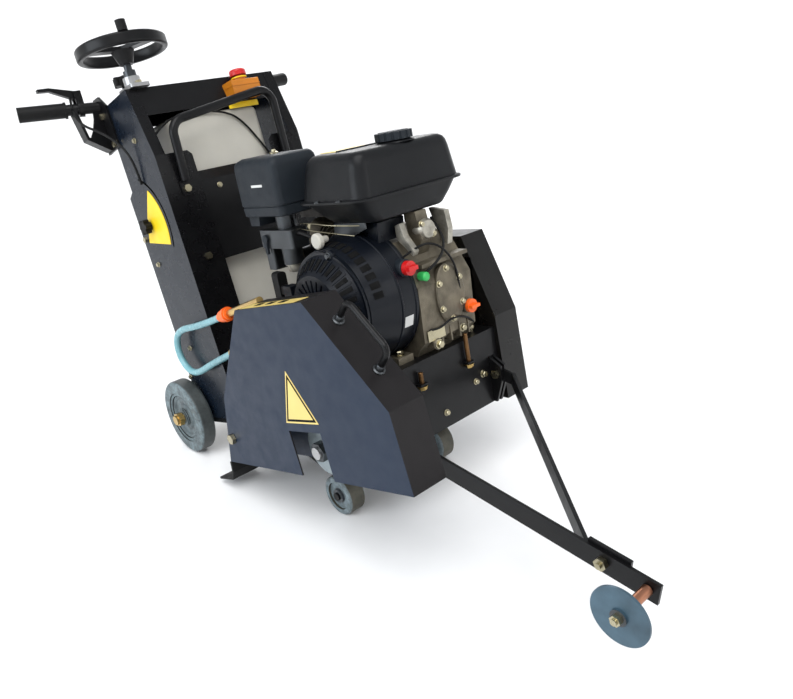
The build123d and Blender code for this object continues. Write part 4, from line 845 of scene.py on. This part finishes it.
def make_plate_details():
    """Dark sheet of painted shade in the depth scale's slot, and the gussets of both handles."""
    inner, outer = SLOT_RADII
    arc = [(DIAL[0] + r * cos(radians(angle)), DIAL[1] + r * sin(radians(angle)))
           for r, angles in ((outer, range(-28, 75, 6)), (inner, range(74, -29, -6))) for angle in angles]
    slab("scale_slot_shade", arc, -191.9, -190.9, FRAME, "black print and slot shade", "machine", 0.0001, 5)
    gusset = ((200, 712), (243, 742), (232, 758), (222, 782), (217, 806), (200, 812))
    for side in (-1, 1):
        front = [at(GUSSET_U, side * y, v) for y, v in gusset]
        back = [p - ahead(FRAME) * 0.004 for p in front]
        add(f"handle_gusset_{side}", skin([front, back]), "black paint", "machine")


def make_stop_box_details():
    """Label strip, seam round the box and collar of the emergency stop."""
    block("stop_box_strip", (-424.5, -422.2), (40, 122), (728, 741), FRAME, "yellow print", "machine",
          0.0005)
    rear_u, front_u = STOP_BOX_U
    right_y, left_y = STOP_BOX_Y
    strips = (
        ((rear_u, rear_u + 2.2), STOP_BOX_Y),
        ((front_u - 2.2, front_u), STOP_BOX_Y),
        (STOP_BOX_U, (right_y, right_y + 2.2)),
        (STOP_BOX_U, (left_y - 2.2, left_y)),
    )
    for k, (u, y) in enumerate(strips):
        block(f"stop_box_seam_{k}", u, y, STOP_BOX_SEAM_V, FRAME, "amber plastic", "machine",
              0.0005)
    collar = [(19, 0), (19, 2.5), (16, 3.6), (9, 3.8)]
    turned("stop_collar", at(-411, 81, 791.8), FRAME, collar, "yellow print", "machine")


def make_small_bolts():
    """Screws of the sheet metal covers and the threads of the belt's jack bolts."""
    for k, y in enumerate((-60, 60)):
        hex_head(f"cross_plate_bolt_{k}", at(-401, y, 560), ahead(FRAME), 9, 4, "machine")
    for k, (u, v) in enumerate(((-540, 205), (-560, 420), (-470, 700), (-590, 130))):
        hex_head(f"side_plate_bolt_{k}", at(u, -196, v), -LEFT, 9, 4, "machine")
    for k, (y, v) in enumerate(((-60, 20), (20, -12), (118, 20), (-100, 66))):
        hex_head(f"front_plate_bolt_{k}", at(FRONT_PLATE_U, y, v, DECK), ahead(DECK), 10, 5, "machine")
    for k, (u, v) in enumerate(((60, -20), (70, 130), (0, 290))):
        hex_head(f"belt_cover_bolt_{k}", at(u, 266, v, DECK), LEFT, 9, 4, "machine")
    for name, u, y, reach in (("long", 50, 158, 46), ("short", 18, 168, 14)):
        thread = [(5.6, 0), (5.6, reach + 0.2), (4.6, reach + 1)]
        turned(f"jack_bolt_{name}", at(u, y, 132, DECK), DECK, thread, "brass", "machine", sides=24)


def make_wheel_details():
    """Ringed dish and hub ring in the outer face of each rear wheel."""
    u, v = REAR_AXLE
    dish = [(57.8, 0), (57.6, 5), (54, 6.4), (50, 5), (47, 1.6), (36, 1.2), (33, 3.4), (26, 5), (21, 5.2)]
    ring = [(21.5, 0), (21.5, 1), (19, 1.6), (14, 1.6)]
    for name, out in (("right", -1), ("left", 1)):
        body = f"rear_wheel_{name}"
        outward = LEFT * out
        dish_at = at(u, out * (REAR_WHEEL_Y + 8), v)
        turned(f"{body}_dish", dish_at, outward, dish, "wheel casting", body, sides=64)
        turned(f"{body}_hub_ring", at(u, out * (REAR_WHEEL_Y + 18), v), outward, ring, "wheel casting", body)


def make_deck_details():
    """Belt tension and deck bolts standing in lugs on the front plate."""
    u = FRONT_PLATE_U + 8
    for k, (y, v, length) in enumerate(((98, 64, 72), (-40, 66, 34))):
        block(f"deck_lug_{k}", (FRONT_PLATE_U, FRONT_PLATE_U + 16), (y - 10, y + 10), (v + 6, v + 11), DECK,
              "black paint", "machine")
        rod = [(4.6, 0), (5, 1), (5, length - 1), (4.2, length)]
        turned(f"deck_rod_{k}", at(u, y, v, DECK), DECK, rod, "dull brass", "machine", sides=24)
        hex_head(f"deck_rod_nut_{k}", at(u, y, v + 5.8, DECK), -DECK, 15, 7, "machine", "brass")
    hex_head("deck_side_bolt", at(FRONT_PLATE_U, 143, 29, DECK), ahead(DECK), 12, 7, "machine")


def make_pointer_details():
    """Copper sleeve on the pointer disc's axle and the washer face of the disc."""
    slope = Matrix.Rotation(radians(-POINTER_PITCH), 3, "Y")
    axle = at(97, 0, 22, DECK) + slope @ Vector((1, 0, 0)) * 0.553
    sleeve = [(8.6, 0), (9.4, 2), (8.8, 4), (8.8, 60), (9.4, 63), (8.4, 65)]
    turned("pointer_axle_sleeve", axle - LEFT * 0.1605, -LEFT, sleeve, "copper plate", "pointer",
           sides=28)
    washer = [(13.2, 0), (13.2, 0.6), (11, 1), (6, 1)]
    turned("pointer_disc_face", axle - LEFT * 0.2372, -LEFT, washer, "dark steel", "pointer_disc",
           sides=32)


aim_camera()
light_stage()
make_materials()
make_floor()
make_hose()
dress_nodes()
make_fuel_tank()
make_fuel_cap()
make_air_cleaner()
make_recoil()
make_crankcase_front()
make_engine_controls()
make_engine_wiring()
make_guard_details()
make_cables()
make_plate_details()
make_stop_box_details()
make_small_bolts()
make_wheel_details()
make_deck_details()
make_pointer_details()
